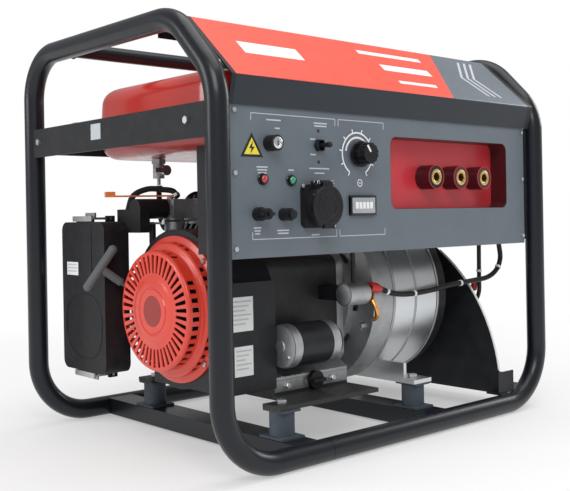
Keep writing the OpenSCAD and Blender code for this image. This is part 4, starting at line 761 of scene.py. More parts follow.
@dataclass
class TubeFrame:
    """The two tube hoops with their weld beads.

    Attributes:
        tube: tube radius.
        corner: bottom bend radius.
        shoulder: bend radius at the sloped shoulder.
        rear: rear upper bend radius.
    """

    shop: Shop
    tube: float = 15.0 * MM
    corner: float = 85.0 * MM
    shoulder: float = 80.0 * MM
    rear: float = 68.0 * MM
    shoulder_drop: float = 85.0 * MM
    shoulder_in: float = 82.5 * MM
    seam: float = -158.0 * MM

    def build(self) -> None:
        """Sweeps both hoops and adds the beads."""
        lo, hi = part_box("frame_hoop_right")
        hx, hy, top = hi.x - self.tube, hi.y - self.tube, hi.z - self.tube
        base = self.tube
        for side, node in ((-1, "frame_hoop_left"), (1, "frame_hoop_right")):
            x = side * hx
            end = self.seam + side * 0.25 * MM
            corners = [
                Vector((end, -hy, base)), Vector((x, -hy, base)),
                Vector((x, -hy, top - self.shoulder_drop)),
                Vector((x, -hy + self.shoulder_in, top)), Vector((x, hy, top)),
                Vector((x, hy, base)),
                Vector((end, hy, base)),
            ]
            radii = [0, self.corner, self.shoulder, self.shoulder, self.rear, self.corner, 0]
            bm = bmesh.new()
            add_tube(bm, fillet_path(corners, radii, 3.0), self.tube, 40)
            self.shop.piece("tube_" + node, bm, Paint.FRAME, Body.MACHINE, [node])
        bm = bmesh.new()
        rng = random.Random(7)
        for side in (-1, 1):
            self._bead(bm, Vector((side * (hx - self.tube + 1.2 * MM), 0.130, top)),
                       Vector((1, 0, 0)), 11.6 * MM, rng)
        self.shop.piece("weld_beads", bm, Paint.FRAME)

    @staticmethod
    def _bead(bm: bmesh.types.BMesh, centre: Vector, axis: Vector, radius: float,
              rng: random.Random) -> None:
        """Adds a scalloped weld bead ring.

        Args:
            bm: target mesh.
            centre: centre of the ring.
            axis: its axis.
            radius: its radius.
            rng: source of the scallops.
        """
        rot = frame_at(axis)
        phase = rng.random()
        ring = []
        for k in range(72):
            a = 2 * math.pi * k / 72
            lift = 0.35 * MM * math.sin(a * 18 + phase)
            ring.append(centre + rot @ Vector(((radius + lift) * math.cos(a),
                                               (radius + lift) * math.sin(a), 0)))
        ring.append(ring[0].copy())
        add_tube(bm, ring, 1.8 * MM, 8, False)


def add_sheet(bm: bmesh.types.BMesh, rows: Sequence[Sequence[Vector]], normals: Sequence[Vector],
              thick: float) -> None:
    """Adds a closed sheet through rows of points, half its thickness to each side.

    Args:
        bm: target mesh.
        rows: point rows of equal length.
        normals: one normal for each row.
        thick: sheet thickness.
    """
    outer = [[bm.verts.new(p + n * thick / 2) for p in row] for row, n in zip(rows, normals)]
    inner = [[bm.verts.new(p - n * thick / 2) for p in row] for row, n in zip(rows, normals)]
    last, end = len(rows) - 1, len(rows[0]) - 1
    for i in range(last):
        for k in range(end):
            bm.faces.new((outer[i][k], outer[i][k + 1], outer[i + 1][k + 1], outer[i + 1][k]))
            bm.faces.new((inner[i + 1][k], inner[i + 1][k + 1], inner[i][k + 1], inner[i][k]))
        for k in (0, end):
            bm.faces.new((outer[i][k], outer[i + 1][k], inner[i + 1][k], inner[i][k]))
    for i in (0, last):
        for k in range(end):
            bm.faces.new((outer[i][k], inner[i][k], inner[i][k + 1], outer[i][k + 1]))


def add_slotted(bm: bmesh.types.BMesh, origin: Vector, axis: Vector,
                profile: Sequence[Tuple[float, float]], sides: int, thick: float,
                slot: Callable[[int, int], bool]) -> None:
    """Adds a shell of revolution with real slots through its wall.

    Args:
        bm: target mesh.
        origin: point on the axis.
        axis: direction of the axis.
        profile: (distance, radius) pairs of the outer face.
        sides: segments round.
        thick: wall thickness, inwards.
        slot: tells for a profile band and a segment whether it is open.
    """
    rot = frame_at(axis)
    normals = []
    for i in range(len(profile)):
        a, b = profile[max(i - 1, 0)], profile[min(i + 1, len(profile) - 1)]
        run = Vector((b[0] - a[0], b[1] - a[1])).normalized()
        normals.append((-run.y, run.x))

    def ring(inset: float) -> List[List[bmesh.types.BMVert]]:
        """Makes the rings of one face of the wall."""
        rings = []
        for (h, r), (nh, nr) in zip(profile, normals):
            hh, rr = h - nh * inset, max(r - nr * inset, 1e-4)
            rings.append([
                bm.verts.new(origin + rot @ Vector((rr * math.cos(2 * math.pi * k / sides),
                                                    rr * math.sin(2 * math.pi * k / sides), hh)))
                for k in range(sides)
            ])
        return rings

    outer, inner = ring(0.0), ring(thick)
    bands = len(profile) - 1

    def is_open(i: int, k: int) -> bool:
        """Tells whether a cell of the grid is open; past the ends it is."""
        return i < 0 or i >= bands or slot(i, k % sides)

    for i in range(bands):
        for k in range(sides):
            if is_open(i, k):
                continue
            j = (k + 1) % sides
            bm.faces.new((outer[i][k], outer[i][j], outer[i + 1][j], outer[i + 1][k]))
            bm.faces.new((inner[i + 1][k], inner[i + 1][j], inner[i][j], inner[i][k]))
            if is_open(i - 1, k):
                bm.faces.new((outer[i][j], outer[i][k], inner[i][k], inner[i][j]))
            if is_open(i + 1, k):
                bm.faces.new((outer[i + 1][k], outer[i + 1][j], inner[i + 1][j], inner[i + 1][k]))
            if is_open(i, k - 1):
                bm.faces.new((outer[i][k], outer[i + 1][k], inner[i + 1][k], inner[i][k]))
            if is_open(i, k + 1):
                bm.faces.new((outer[i + 1][j], outer[i][j], inner[i][j], inner[i + 1][j]))


X_AXIS, Y_AXIS = Vector((1, 0, 0)), Vector((0, 1, 0))
PRINT_SINK = 0.02 * MM  # gap between a printed plate and the face under it
CRANK_Y, CRANK_Z = -30.0 * MM, 193.0 * MM


def mm(x: float, y: float, z: float) -> Vector:
    """A point given in millimetres."""
    return Vector((x, y, z)) * MM


@dataclass
class RecoilStarter:
    """Cover of the recoil starter with its slots, centre disc, rope guide and screws.

    Attributes:
        slots: slots round the front.
        wall: wall thickness.
        drum_r: radius of the drum, in millimetres.
    """

    shop: Shop
    repeat: RadialRepeat
    slots: int = 42
    wall: float = 2.0 * MM
    drum_r: float = 83.5

    def build(self) -> None:
        """Makes the cover, its guide, its disc and its screws."""
        lo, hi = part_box("recoil_cover")
        origin = Vector((lo.x, CRANK_Y, CRANK_Z))
        depth = (hi.x - lo.x) / MM
        r = self.drum_r
        profile = [
            (0.4, 0.5), (0.0, 12), (0.0, 30), (1.4, 31), (1.4, 33), (0.2, 34.2), (0.2, 42),
            (1.2, 45),
            (2.2, 50), (2.2, 52.5), (2.2, 77.5), (2.4, 79.5), (3.6, 82.2), (5.6, r), (8.0, r),
            (19.5, r), (22.0, r), (23.2, r + 1.4), (23.6, 89.5), (24.6, 92.4), (26.6, 94),
            (27.6, 94), (35.2, 94), (36.6, 94.4), (37.6, 96), (37.9, 102.4), (38.4, 103),
            (depth, 103),
        ]
        front, drum, skirt = 9, 14, 21
        per = 4

        def slot(i: int, k: int) -> bool:
            """Open cells: the front rim, the drum's side and the skirt, apart from solid stretches."""
            sector = k // per
            if i == front:
                return k % per in (1, 2)
            if i == drum:
                return k % per in (1, 2) and sector % 14 not in (0, 1, 2)
            if i == skirt:
                return k % per in (1, 2) and sector % 7 not in (0, 1)
            return False

        bm = bmesh.new()
        add_slotted(bm, origin, X_AXIS, scaled(profile), self.slots * per, self.wall, slot)
        add_revolve(bm, origin + X_AXIS * 2.0 * MM, X_AXIS,
                    scaled([(0, 0), (0, 8), (28, 8), (28, 0)]), 32)
        pull = Vector((-0.7928, 0.1613, 0.5878))
        add_revolve(bm, mm(-262, 66, 215) - pull * 8 * MM, pull,
                    scaled([(0, 4), (0, 9), (14.5, 9), (16, 7.6), (16, 4.4), (0, 4)]), 32)
        self.shop.piece("recoil_cover_shell", bm, Paint.RECOIL, Body.MACHINE, ["recoil_cover"], 40)
        bm = bmesh.new()
        add_revolve(bm, origin + X_AXIS * 0.02 * MM, -X_AXIS,
                    scaled([(0, 0), (0, 21.5), (0.25, 21.2), (0.25, 0)]), 48)
        self.shop.piece("recoil_badge", bm, Paint.BADGE)
        seed = bmesh.new()
        add_revolve(seed, mm(0, 98.4, 0), -X_AXIS, hex_head(7.5, 3.6), 6)
        self.repeat.build(self.shop, "recoil_screws", seed,
                          Vector((hi.x - 4.0 * MM, CRANK_Y, CRANK_Z)),
                          4, Paint.STEEL, 45)


def hex_head(size: float, height: float) -> List[Tuple[float, float]]:
    """Profile of a bolt head for a revolve with 6 sides.

    Args:
        size: radius over the corners, in millimetres.
        height: height in millimetres.

    Returns:
        The (height, radius) pairs in metres.
    """
    r, h = size / 2 * MM, height * MM
    return [(0, 0), (0, r), (h * 0.82, r), (h, r * 0.86), (h, 0)]


@dataclass
class FuelTank:
    """Pressed tank shells with their rounded shoulders and seam flange.

    Attributes:
        flange: width of the seam flange.
        corner: corner radius seen from above.
        shoulder: rounding between wall and top.
        crown: rise of the top towards its middle.
    """

    shop: Shop
    flange: float = 12.0 * MM
    corner: float = 48.0 * MM
    shoulder: float = 26.0 * MM
    crown: float = 5.0 * MM

    def build(self) -> None:
        """Makes both shells."""
        self._shell("tank_shell_upper", "fuel_tank_upper", Paint.TANK, 1, self.shoulder)
        # The lower shell takes the darkened enamel, painted shade for the shadow it sits in.
        self._shell("tank_shell_lower", "fuel_tank_lower", Paint.TANK_SHADED, -1, self.shoulder * 0.8)

    def _shell(self, name: str, node: str, paint: Paint, side: int, shoulder: float) -> None:
        """Lofts one shell from its seam.

        Args:
            name: piece name.
            node: CAD node.
            paint: finish.
            side: 1 for the shell above the seam, -1 for the one below.
            shoulder: rounding radius.
        """
        up_lo, up_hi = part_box("fuel_tank_upper")
        lo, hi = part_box(node)
        base, end = (lo.z, hi.z) if side > 0 else (hi.z, lo.z)
        if side > 0:
            end = base + 62.5 * MM
        rise = abs(end - base)
        crown = self.crown if side > 0 else 1.5 * MM
        steps = 7
        rings = [(0.0, 0.0), (0.0, 1.5 * MM), (self.flange - 3 * MM, 1.5 * MM),
                 (self.flange - 0.8 * MM, 2.2 * MM),
                 (self.flange, 4.5 * MM), (self.flange + 1.5 * MM, rise - crown - shoulder)]
        for k in range(1, steps + 1):
            a = math.pi / 2 * k / steps
            rings.append((self.flange + 1.5 * MM + shoulder * (1 - math.cos(a)),
                          rise - crown - shoulder + shoulder * math.sin(a)))
        inset0 = rings[-1][0]
        half = (up_hi.y - up_lo.y) / 2 - 4 * MM
        for k in range(1, 9):
            t = k / 8
            rings.append((inset0 + (half - inset0) * t,
                          rise - crown + crown * math.sin(t * math.pi / 2)))
        bm = bmesh.new()
        w, d = up_hi.x - up_lo.x, up_hi.y - up_lo.y
        made = []
        for inset, h in rings:
            r = max(self.corner - inset * 0.55, 3 * MM)
            r = min(r, (d - 2 * inset) / 2 - 0.2 * MM)
            pts = rounded(w - 2 * inset, d - 2 * inset, r, 8)
            made.append([bm.verts.new(Vector((up_lo.x + inset + x, up_lo.y + inset + y,
                                              base + side * h))) for x, y in pts])
        join_rings(bm, zip(made, made[1:]))
        bm.faces.new(list(reversed(made[0])))
        bm.faces.new(made[-1])
        self.shop.piece(name, bm, paint, Body.MACHINE, [node], 30)


@dataclass
class Hood:
    """Folded hood: dark lip, two-colour slope, roof and end strips.

    Attributes:
        path: cross-section corners, (y, z) in millimetres.
        bends: bend radii of its inner corners.
        sheet: sheet thickness.
    """

    shop: Shop
    path: Tuple[Tuple[float, float], ...] = ((-233.4, 457), (-242, 492), (-150, 576), (-90, 566),
                                             (-90, 557))
    bends: Tuple[float, ...] = (0, 4, 9, 3, 0)
    sheet: float = 2.0 * MM
    x0: float = -308.0
    x1: float = 302.0
    split_low: float = 108.0
    split_high: float = 165.0

    def build(self) -> None:
        """Makes the coloured stretches of the sheet."""
        lo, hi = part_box("hood")
        line = fillet_path([mm(0, y, z) for y, z in self.path], [b * MM for b in self.bends], 9.0)
        normals = []
        for i in range(len(line)):
            run = (line[min(i + 1, len(line) - 1)] - line[max(i - 1, 0)]).normalized()
            normals.append(Vector((0, -run.z, run.y)))
        low = min(range(len(line)), key=lambda i: line[i].y) + 2
        high = max(range(len(line)), key=lambda i: line[i].z)
        left, right = self.x0 * MM, self.x1 * MM
        split = [
            (self.split_low + (self.split_high - self.split_low)
             * min(max((p.z - line[low].z) / (line[high].z - line[low].z), 0), 1)) * MM
             for p in line
        ]
        everywhere = range(len(line))
        self._stretch("hood_lip", line, normals, [left] * len(line), [right] * len(line),
                      everywhere[:low + 1], Paint.HOOD_LIP, ["hood"])
        self._stretch("hood_slope_left", line, normals, [left] * len(line), split,
                      everywhere[low:high + 1], Paint.HOOD)
        self._stretch("hood_slope_right", line, normals, split, [right] * len(line),
                      everywhere[low:high + 1], Paint.HOOD_GREY)
        self._stretch("hood_roof", line, normals, [left] * len(line), [right] * len(line),
                      everywhere[high:], Paint.HOOD_LIP)
        for name, a, b in (("hood_end_left", lo.x, left - 0.15 * MM),
                           ("hood_end_right", right + 0.15 * MM, hi.x)):
            self._stretch(name, line, normals, [a] * len(line), [b] * len(line), everywhere,
                          Paint.CARRIER)
        at = max(range(len(line) - 1), key=lambda i: (line[i + 1] - line[i]).length)
        foot, head = line[at], line[at + 1]
        bm = bmesh.new()
        for k in range(3):
            self._mark(bm, foot, head, (0.12, 214 + 16 * k), (0.52, 190 + 16 * k), 6.0)
            self._mark(bm, foot, head, (0.52, 190 + 16 * k), (0.92, 226 + 16 * k), 6.0)
        self.shop.piece("hood_chevrons", bm, Paint.PRINT)
        bm = bmesh.new()
        for t, a, b, wide in ((0.80, -24, 116, 9), (0.50, 0, 108, 15), (0.20, 8, 92, 7),
                              (0.52, -262, -160, 26)):
            self._bar(bm, foot, head, t, a, b, wide)
        self.shop.piece("hood_stripes", bm, Paint.PRINT_WHITE)

    def _stretch(self, name: str, line: List[Vector], normals: List[Vector], left: List[float],
                 right: List[float], take: Iterable[int], paint: Paint,
                 replaces: Sequence[str] = ()) -> None:
        """Makes one coloured stretch of the hood sheet."""
        rows, norms = [], []
        for i in take:
            count = 8
            rows.append([Vector((left[i] + (right[i] - left[i]) * k / count, line[i].y, line[i].z))
                         for k in range(count + 1)])
            norms.append(normals[i])
        bm = bmesh.new()
        add_sheet(bm, rows, norms, self.sheet)
        self.shop.piece(name, bm, paint, Body.MACHINE, replaces, 25)

    def _bar(self, bm: bmesh.types.BMesh, foot: Vector, head: Vector, t: float, a: float, b: float,
             wide: float) -> None:
        """Adds a plain printed bar along the slope."""
        up = (head - foot).normalized()
        n = Vector((0, -up.z, up.y))
        ends = [foot.lerp(head, t) + X_AXIS * x * MM + n * (self.sheet / 2 + PRINT_SINK)
                for x in (a, b)]
        w = up * wide * MM / 2
        add_plate(bm, [ends[0] - w, ends[1] - w, ends[1] + w, ends[0] + w], n * 0.12 * MM)

    def _mark(self, bm: bmesh.types.BMesh, foot: Vector, head: Vector, start: Tuple[float, float],
              end: Tuple[float, float], wide: float) -> None:
        """Adds one slanted stroke between two (share of height, x) points of the slope."""
        up = (head - foot).normalized()
        n = Vector((0, -up.z, up.y))
        lift = n * (self.sheet / 2 + PRINT_SINK)
        p, q = (foot.lerp(head, t) + X_AXIS * x * MM + lift for t, x in (start, end))
        w = X_AXIS * wide * MM / 2
        add_plate(bm, [p - w, p + w, q + w, q - w], n * 0.12 * MM)


@dataclass
class PanelPrint:
    """Printed marks of the control panel: brackets, bars, dial and warning triangle.

    Attributes:
        thick: height of the print over the panel.
        line: width of a printed line, in millimetres.
    """

    shop: Shop
    thick: float = 0.12 * MM
    line: float = 1.0
    knob: Tuple[float, float] = (-91.0, 403.0)

    def __post_init__(self) -> None:
        self.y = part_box("control_panel")[0].y

    def _flat(self, bm: bmesh.types.BMesh, points: Sequence[Tuple[float, float]],
              rise: int = 1) -> None:
        """Adds a printed plate from (x, z) corners in millimetres."""
        outline = [Vector((x * MM, self.y - PRINT_SINK, z * MM)) for x, z in points]
        add_plate(bm, outline, Vector((0, -self.thick * rise, 0)))

    def _bar(self, bm: bmesh.types.BMesh, x: float, z: float, w: float, h: float) -> None:
        """Adds a bar centred on (x, z)."""
        self._flat(bm,
                   [(x - w / 2, z - h / 2), (x + w / 2, z - h / 2), (x + w / 2, z + h / 2),
                    (x - w / 2, z + h / 2)])

    def _arc(self, bm: bmesh.types.BMesh, centre: Tuple[float, float], r: float, wide: float,
             a0: float, a1: float) -> None:
        """Adds a printed arc."""
        n = 40
        rim = [(r + wide / 2, k) for k in range(n + 1)] + [(r - wide / 2, k)
                                                           for k in range(n, -1, -1)]
        pts = []
        for q, k in rim:
            a = math.radians(a0 + (a1 - a0) * k / n)
            pts.append((centre[0] + q * math.cos(a), centre[1] + q * math.sin(a)))
        self._flat(bm, pts)

    def build(self) -> None:
        """Prints the panel."""
        bm = bmesh.new()
        left, mid, right, top, low, leg = -278, -130, -38, 448, 293, 9
        for x0, x1 in ((left, mid - 3), (mid + 3, right)):
            for z, s in ((top, -1), (low, 1)):
                self._bar(bm, (x0 + x1) / 2, z, x1 - x0, self.line)
                for x in (x0, x1):
                    self._bar(bm, x, z + s * leg / 2, self.line, leg)
        for x, z, w, rows in ((-241, 441, 24, 1), (-235, 431, 8, 1), (-160, 441, 24, 2),
                              (-163, 382, 36, 1),
                              (-163, 376, 18, 1), (-261, 382, 18, 3), (-213, 379, 9, 1),
                              (-174, 420, 9, 1),
                              (-174, 400, 9, 1), (-270, 307, 12, 3), (-228, 303, 20, 2),
                              (-172, 296, 14, 1)):
            for k in range(rows):
                self._bar(bm, x, z - 3.6 * k, w - 2 * k, 1.7)
        self.shop.piece("panel_brackets", bm, Paint.PRINT)
        bm = bmesh.new()
        self._arc(bm, self.knob, 29, 2.0, -58, 238)
        self._arc(bm, self.knob, 22.5, 2.6, 10, 170)
        for k in range(10):
            a = math.radians(-58 + 296 * k / 9)
            c, s = math.cos(a), math.sin(a)
            p, q, w = 29.5, 34.5, 0.8
            self._flat(bm, [(self.knob[0] + p * c + w * s, self.knob[1] + p * s - w * c),
                            (self.knob[0] + q * c + w * s, self.knob[1] + q * s - w * c),
                            (self.knob[0] + q * c - w * s, self.knob[1] + q * s + w * c),
                            (self.knob[0] + p * c - w * s, self.knob[1] + p * s + w * c)])
        self._arc(bm, (-87, 364), 4.5, 1.0, 0, 359)
        self._bar(bm, -87, 364, 5, 1.0)
        self.shop.piece("panel_dial", bm, Paint.PRINT_WHITE)
        tri = [(-295, 394), (-259, 394), (-277, 424)]
        self._plate("warning_border", tri, Paint.PRINT_BLACK, 1)
        self._plate("warning_field", self._inset(tri, 3.2), Paint.YELLOW, 2)
        bolt = [(-275.4, 414), (-281.5, 404.4), (-277.6, 404.6), (-279.6, 397.6), (-272.6, 406.6),
                (-276.6, 406.4)]
        self._plate("warning_bolt", bolt, Paint.PRINT_BLACK, 3)
        bm = bmesh.new()
        for z in (431, 390.5):
            add_revolve(bm, Vector((-164 * MM, self.y, z * MM)), -Y_AXIS,
                        scaled([(0, 0), (0, 2.4), (0.2, 2.2), (0.2, 0)]), 24)
        self.shop.piece("panel_dots", bm, Paint.PRINT_BLACK)

    def _plate(self, name: str, points: Sequence[Tuple[float, float]], paint: Paint,
               rise: int) -> None:
        """Makes one printed plate as a piece."""
        bm = bmesh.new()
        self._flat(bm, points, rise)
        self.shop.piece(name, bm, paint)

    @staticmethod
    def _inset(points: Sequence[Tuple[float, float]], by: float) -> List[Tuple[float, float]]:
        """Shrinks a triangle towards its inner centre."""
        cx = sum(p[0] for p in points) / 3
        cz = sum(p[1] for p in points) / 3
        return [(cx + (x - cx) * (1 - by / 10), cz + (z - cz) * (1 - by / 10)) for x, z in points]


@dataclass
class PanelFittings:
    """Trim on the panel's fittings: lamps, key face, pointer, meter, outlet and socket rings.

    Attributes:
        lamps: lamp centres, (x, z) in millimetres.
        sockets: welding socket centres, x in millimetres.
        socket_z: height of the welding sockets.
    """

    shop: Shop
    repeat: RadialRepeat
    lamps: Tuple[Tuple[float, float], ...] = ((-261, 367), (-214, 366))
    sockets: Tuple[float, ...] = (82, 141, 200)
    socket_z: float = 375.0
    key: Tuple[float, float] = (-249, 411.5)
    knob: Tuple[float, float] = (-91, 403)
    outlet: Tuple[float, float] = (-172, 333)
    lid_front: float = -257.0

    def build(self) -> None:
        """Makes every trim piece."""
        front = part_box("control_panel")[0].y
        for (x, z), paint, name in zip(self.lamps, (Paint.LAMP_RED, Paint.LAMP_GREEN),
                                       ("red", "green")):
            at = Vector((x * MM, front, z * MM))
            bm = bmesh.new()
            add_revolve(bm, at, -Y_AXIS,
                        scaled([(0, 0), (0, 7.6), (1.2, 7.6), (2.0, 6.8), (2.0, 0)]), 40)
            self.shop.piece("lamp_bezel_" + name, bm, Paint.GLOSS_BLACK)
            bm = bmesh.new()
            dome = scaled([(2.0, 0), (2.0, 5.9)])
            dome += [((2 + 5.2 * math.sin(math.pi / 2 * k / 8)) * MM,
                      5.9 * math.cos(math.pi / 2 * k / 8) * MM) for k in range(1, 8)]
            add_revolve(bm, at, -Y_AXIS, dome + scaled([(7.2, 0)]), 40)
            self.shop.piece("lamp_dome_" + name, bm, paint)
        self._key()
        self._knob()
        self._meter(front)
        self._outlet()
        self._sockets()
        self._recess(front)

    def _key(self) -> None:
        """Makes the lock's bright face with its keyhole."""
        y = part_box("lock_core")[0].y
        at = Vector((self.key[0] * MM, y, self.key[1] * MM))
        bm = bmesh.new()
        add_revolve(bm, at, -Y_AXIS, scaled([(-0.5, 0), (-0.5, 7.3), (0.5, 7.3), (0.9, 6.7),
                                      (0.9, 4.6), (0.4, 4.2), (0.4, 0)]), 48)
        self.shop.piece("key_face", bm, Paint.CHROME, Body.LOCK)
        bm = bmesh.new()
        add_box(bm, at + mm(-0.8, -0.55, -3.6), at + mm(0.8, -0.3, 3.6))
        self.shop.piece("key_slot", bm, Paint.PRINT_BLACK, Body.LOCK)

    def _knob(self) -> None:
        """Makes the knob's white pointer and its grip ribs."""
        at = Vector((self.knob[0] * MM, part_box("current_knob")[0].y, self.knob[1] * MM))
        bm = bmesh.new()
        turn = Matrix.Translation(at) @ Matrix.Rotation(math.radians(-35), 4, "Y")
        add_box(bm, mm(-1.3, -0.35, 2.0), mm(1.3, 0.1, 12.6), 0.1 * MM, turn)
        self.shop.piece("knob_pointer", bm, Paint.PRINT_WHITE, Body.KNOB)
        bm = bmesh.new()
        for k in range(30):
            a = 2 * math.pi * k / 30
            seat = Matrix.Translation(at) @ Matrix.Rotation(a, 4, "Y")
            add_box(bm, mm(-0.6, 2.2, 13.5), mm(0.6, 19.0, 14.5), 0.2 * MM, seat)
        self.shop.piece("knob_ribs", bm, Paint.GLOSS_BLACK, Body.KNOB)

    def _meter(self, front: float) -> None:
        """Makes the hour meter's bezel and window."""
        x0, z0, x1, z1 = -109.5, 320.0, -59.0, 347.0
        bm = bmesh.new()
        outer = [Vector(((x0 + x) * MM, front, (z0 + z) * MM)) for x,
                 z in rounded(x1 - x0, z1 - z0, 2.5, 4)]
        add_plate(bm, outer, mm(0, -4.2, 0), 0.6 * MM)
        self.shop.piece("meter_bezel", bm, Paint.GLOSS_BLACK)
        bm = bmesh.new()
        inner = [Vector(((x0 + 3 + x) * MM, front - 4.22 * MM, (z0 + 3 + z) * MM)) for x,
                 z in rounded(x1 - x0 - 6, z1 - z0 - 6, 1.5, 4)]
        add_plate(bm, inner, mm(0, -0.35, 0), 0.1 * MM)
        self.shop.piece("meter_window", bm, Paint.METER)
        bm = bmesh.new()
        for k in range(5):
            x = x0 + 9 + 7 * k
            add_box(bm, mm(x, 0, z0 + 9) + Vector((0, front - 4.9 * MM, 0)),
                    mm(x + 5.4, 0, z0 + 18) + Vector((0, front - 4.5 * MM, 0)), 0.1 * MM)
        self.shop.piece("meter_wheels", bm, Paint.LABEL)

    def _outlet(self) -> None:
        """Makes the outlet's lid rings, hinge spring and base screws."""
        at = Vector((self.outlet[0] * MM, self.lid_front * MM, self.outlet[1] * MM))
        bm = bmesh.new()
        for r in (24.6, 15.5):
            add_revolve(bm, at, -Y_AXIS,
                        [(-0.2 * MM, (r - 1.3) * MM), (0.5 * MM, (r - 0.9) * MM),
                         (0.7 * MM, r * MM),
                                          (0.5 * MM, (r + 0.9) * MM), (-0.2 * MM, (r + 1.3) * MM),
                                          (-0.2 * MM, (r - 1.3) * MM)], 64)
        self.shop.piece("lid_rings", bm, Paint.GLOSS_BLACK, Body.LID)
        bm = bmesh.new()
        for x, z in ((-199, 359), (-145, 307)):
            add_revolve(bm, Vector((x * MM, -0.2395, z * MM)), -Y_AXIS,
                        scaled([(0, 0), (0, 2.6), (0.9, 2.2), (1.1, 0)]), 24)
        self.shop.piece("outlet_screws", bm, Paint.STEEL)
        bm = bmesh.new()
        turns, n = 9, 120
        coil = []
        for k in range(n + 1):
            a = 2 * math.pi * turns * k / n
            coil.append(mm(-188 + 32 * k / n, 0,
                           0) + Vector((0, -0.250 + 2.7 * MM * math.cos(a),
                                        0.363 + 2.7 * MM * math.sin(a))))
        add_tube(bm, coil, 0.45 * MM, 6)
        self.shop.piece("lid_spring", bm, Paint.CHROME)

    def _sockets(self) -> None:
        """Makes the welding sockets' faces and brass inserts."""
        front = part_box("weld_sockets")[0].y
        for k, x in enumerate(self.sockets):
            at = Vector((x * MM, front, self.socket_z * MM))
            bm = bmesh.new()
            rim = [(-0.2, 16.9), (0.5, 17.1), (0.5, 17.7), (-0.2, 17.9), (-0.2, 16.9)]
            add_revolve(bm, at, -Y_AXIS, scaled(rim), 64)
            self.shop.piece("socket_rim_%d" % (k + 1), bm, Paint.SOCKET)
            bm = bmesh.new()
            face = [(-0.2, 12.0), (0.3, 12.2), (0.3, 16.6), (-0.2, 16.8), (-0.2, 12.0)]
            add_revolve(bm, at, -Y_AXIS, scaled(face), 64)
            # Faces of sockets 2 and 3 take the darkened socket red, painted shade inside the recess.
            self.shop.piece("socket_face_%d" % (k + 1), bm, Paint.GLOSS_BLACK if k == 0
                            else Paint.SOCKET_SHADED)
            bm = bmesh.new()
            insert = [(-0.2, 7.0), (0.6, 7.2), (1.0, 8.0), (1.0, 10.6), (0.6, 11.5), (-0.2, 11.7),
                      (-0.2, 7.0)]
            add_revolve(bm, at, -Y_AXIS, scaled(insert), 64)
            tube = [(-28, 6.3), (0.2, 6.3), (0.2, 6.74), (-28, 6.74), (-28, 6.3)]
            add_revolve(bm, at, -Y_AXIS, scaled(tube), 48)
            self.shop.piece("socket_insert_%d" % (k + 1), bm, Paint.BRASS)

    def _recess(self, front: float) -> None:
        """Makes a thin dark-red sheet on the recess walls, painted shade inside the recess."""
        x0, z0, w, h, depth, wall = -24.0, 328.0, 278.0, 102.0, 29.6, 0.35
        bm = bmesh.new()
        rims = []
        for y, inset in ((0.2, 0.3), (depth, 0.3), (depth, 0.3 + wall), (0.2, 0.3 + wall)):
            pts = rounded(w - 2 * inset, h - 2 * inset, 12 - inset, 8)
            rims.append([bm.verts.new(Vector(((x0 + inset + x) * MM, front + y * MM,
                                              (z0 + inset + z) * MM))) for x, z in pts])
        join_rings(bm, zip(rims, rims[1:] + rims[:1]))
        self.shop.piece("recess_painted_shade", bm, Paint.SOCKET_SHADED)


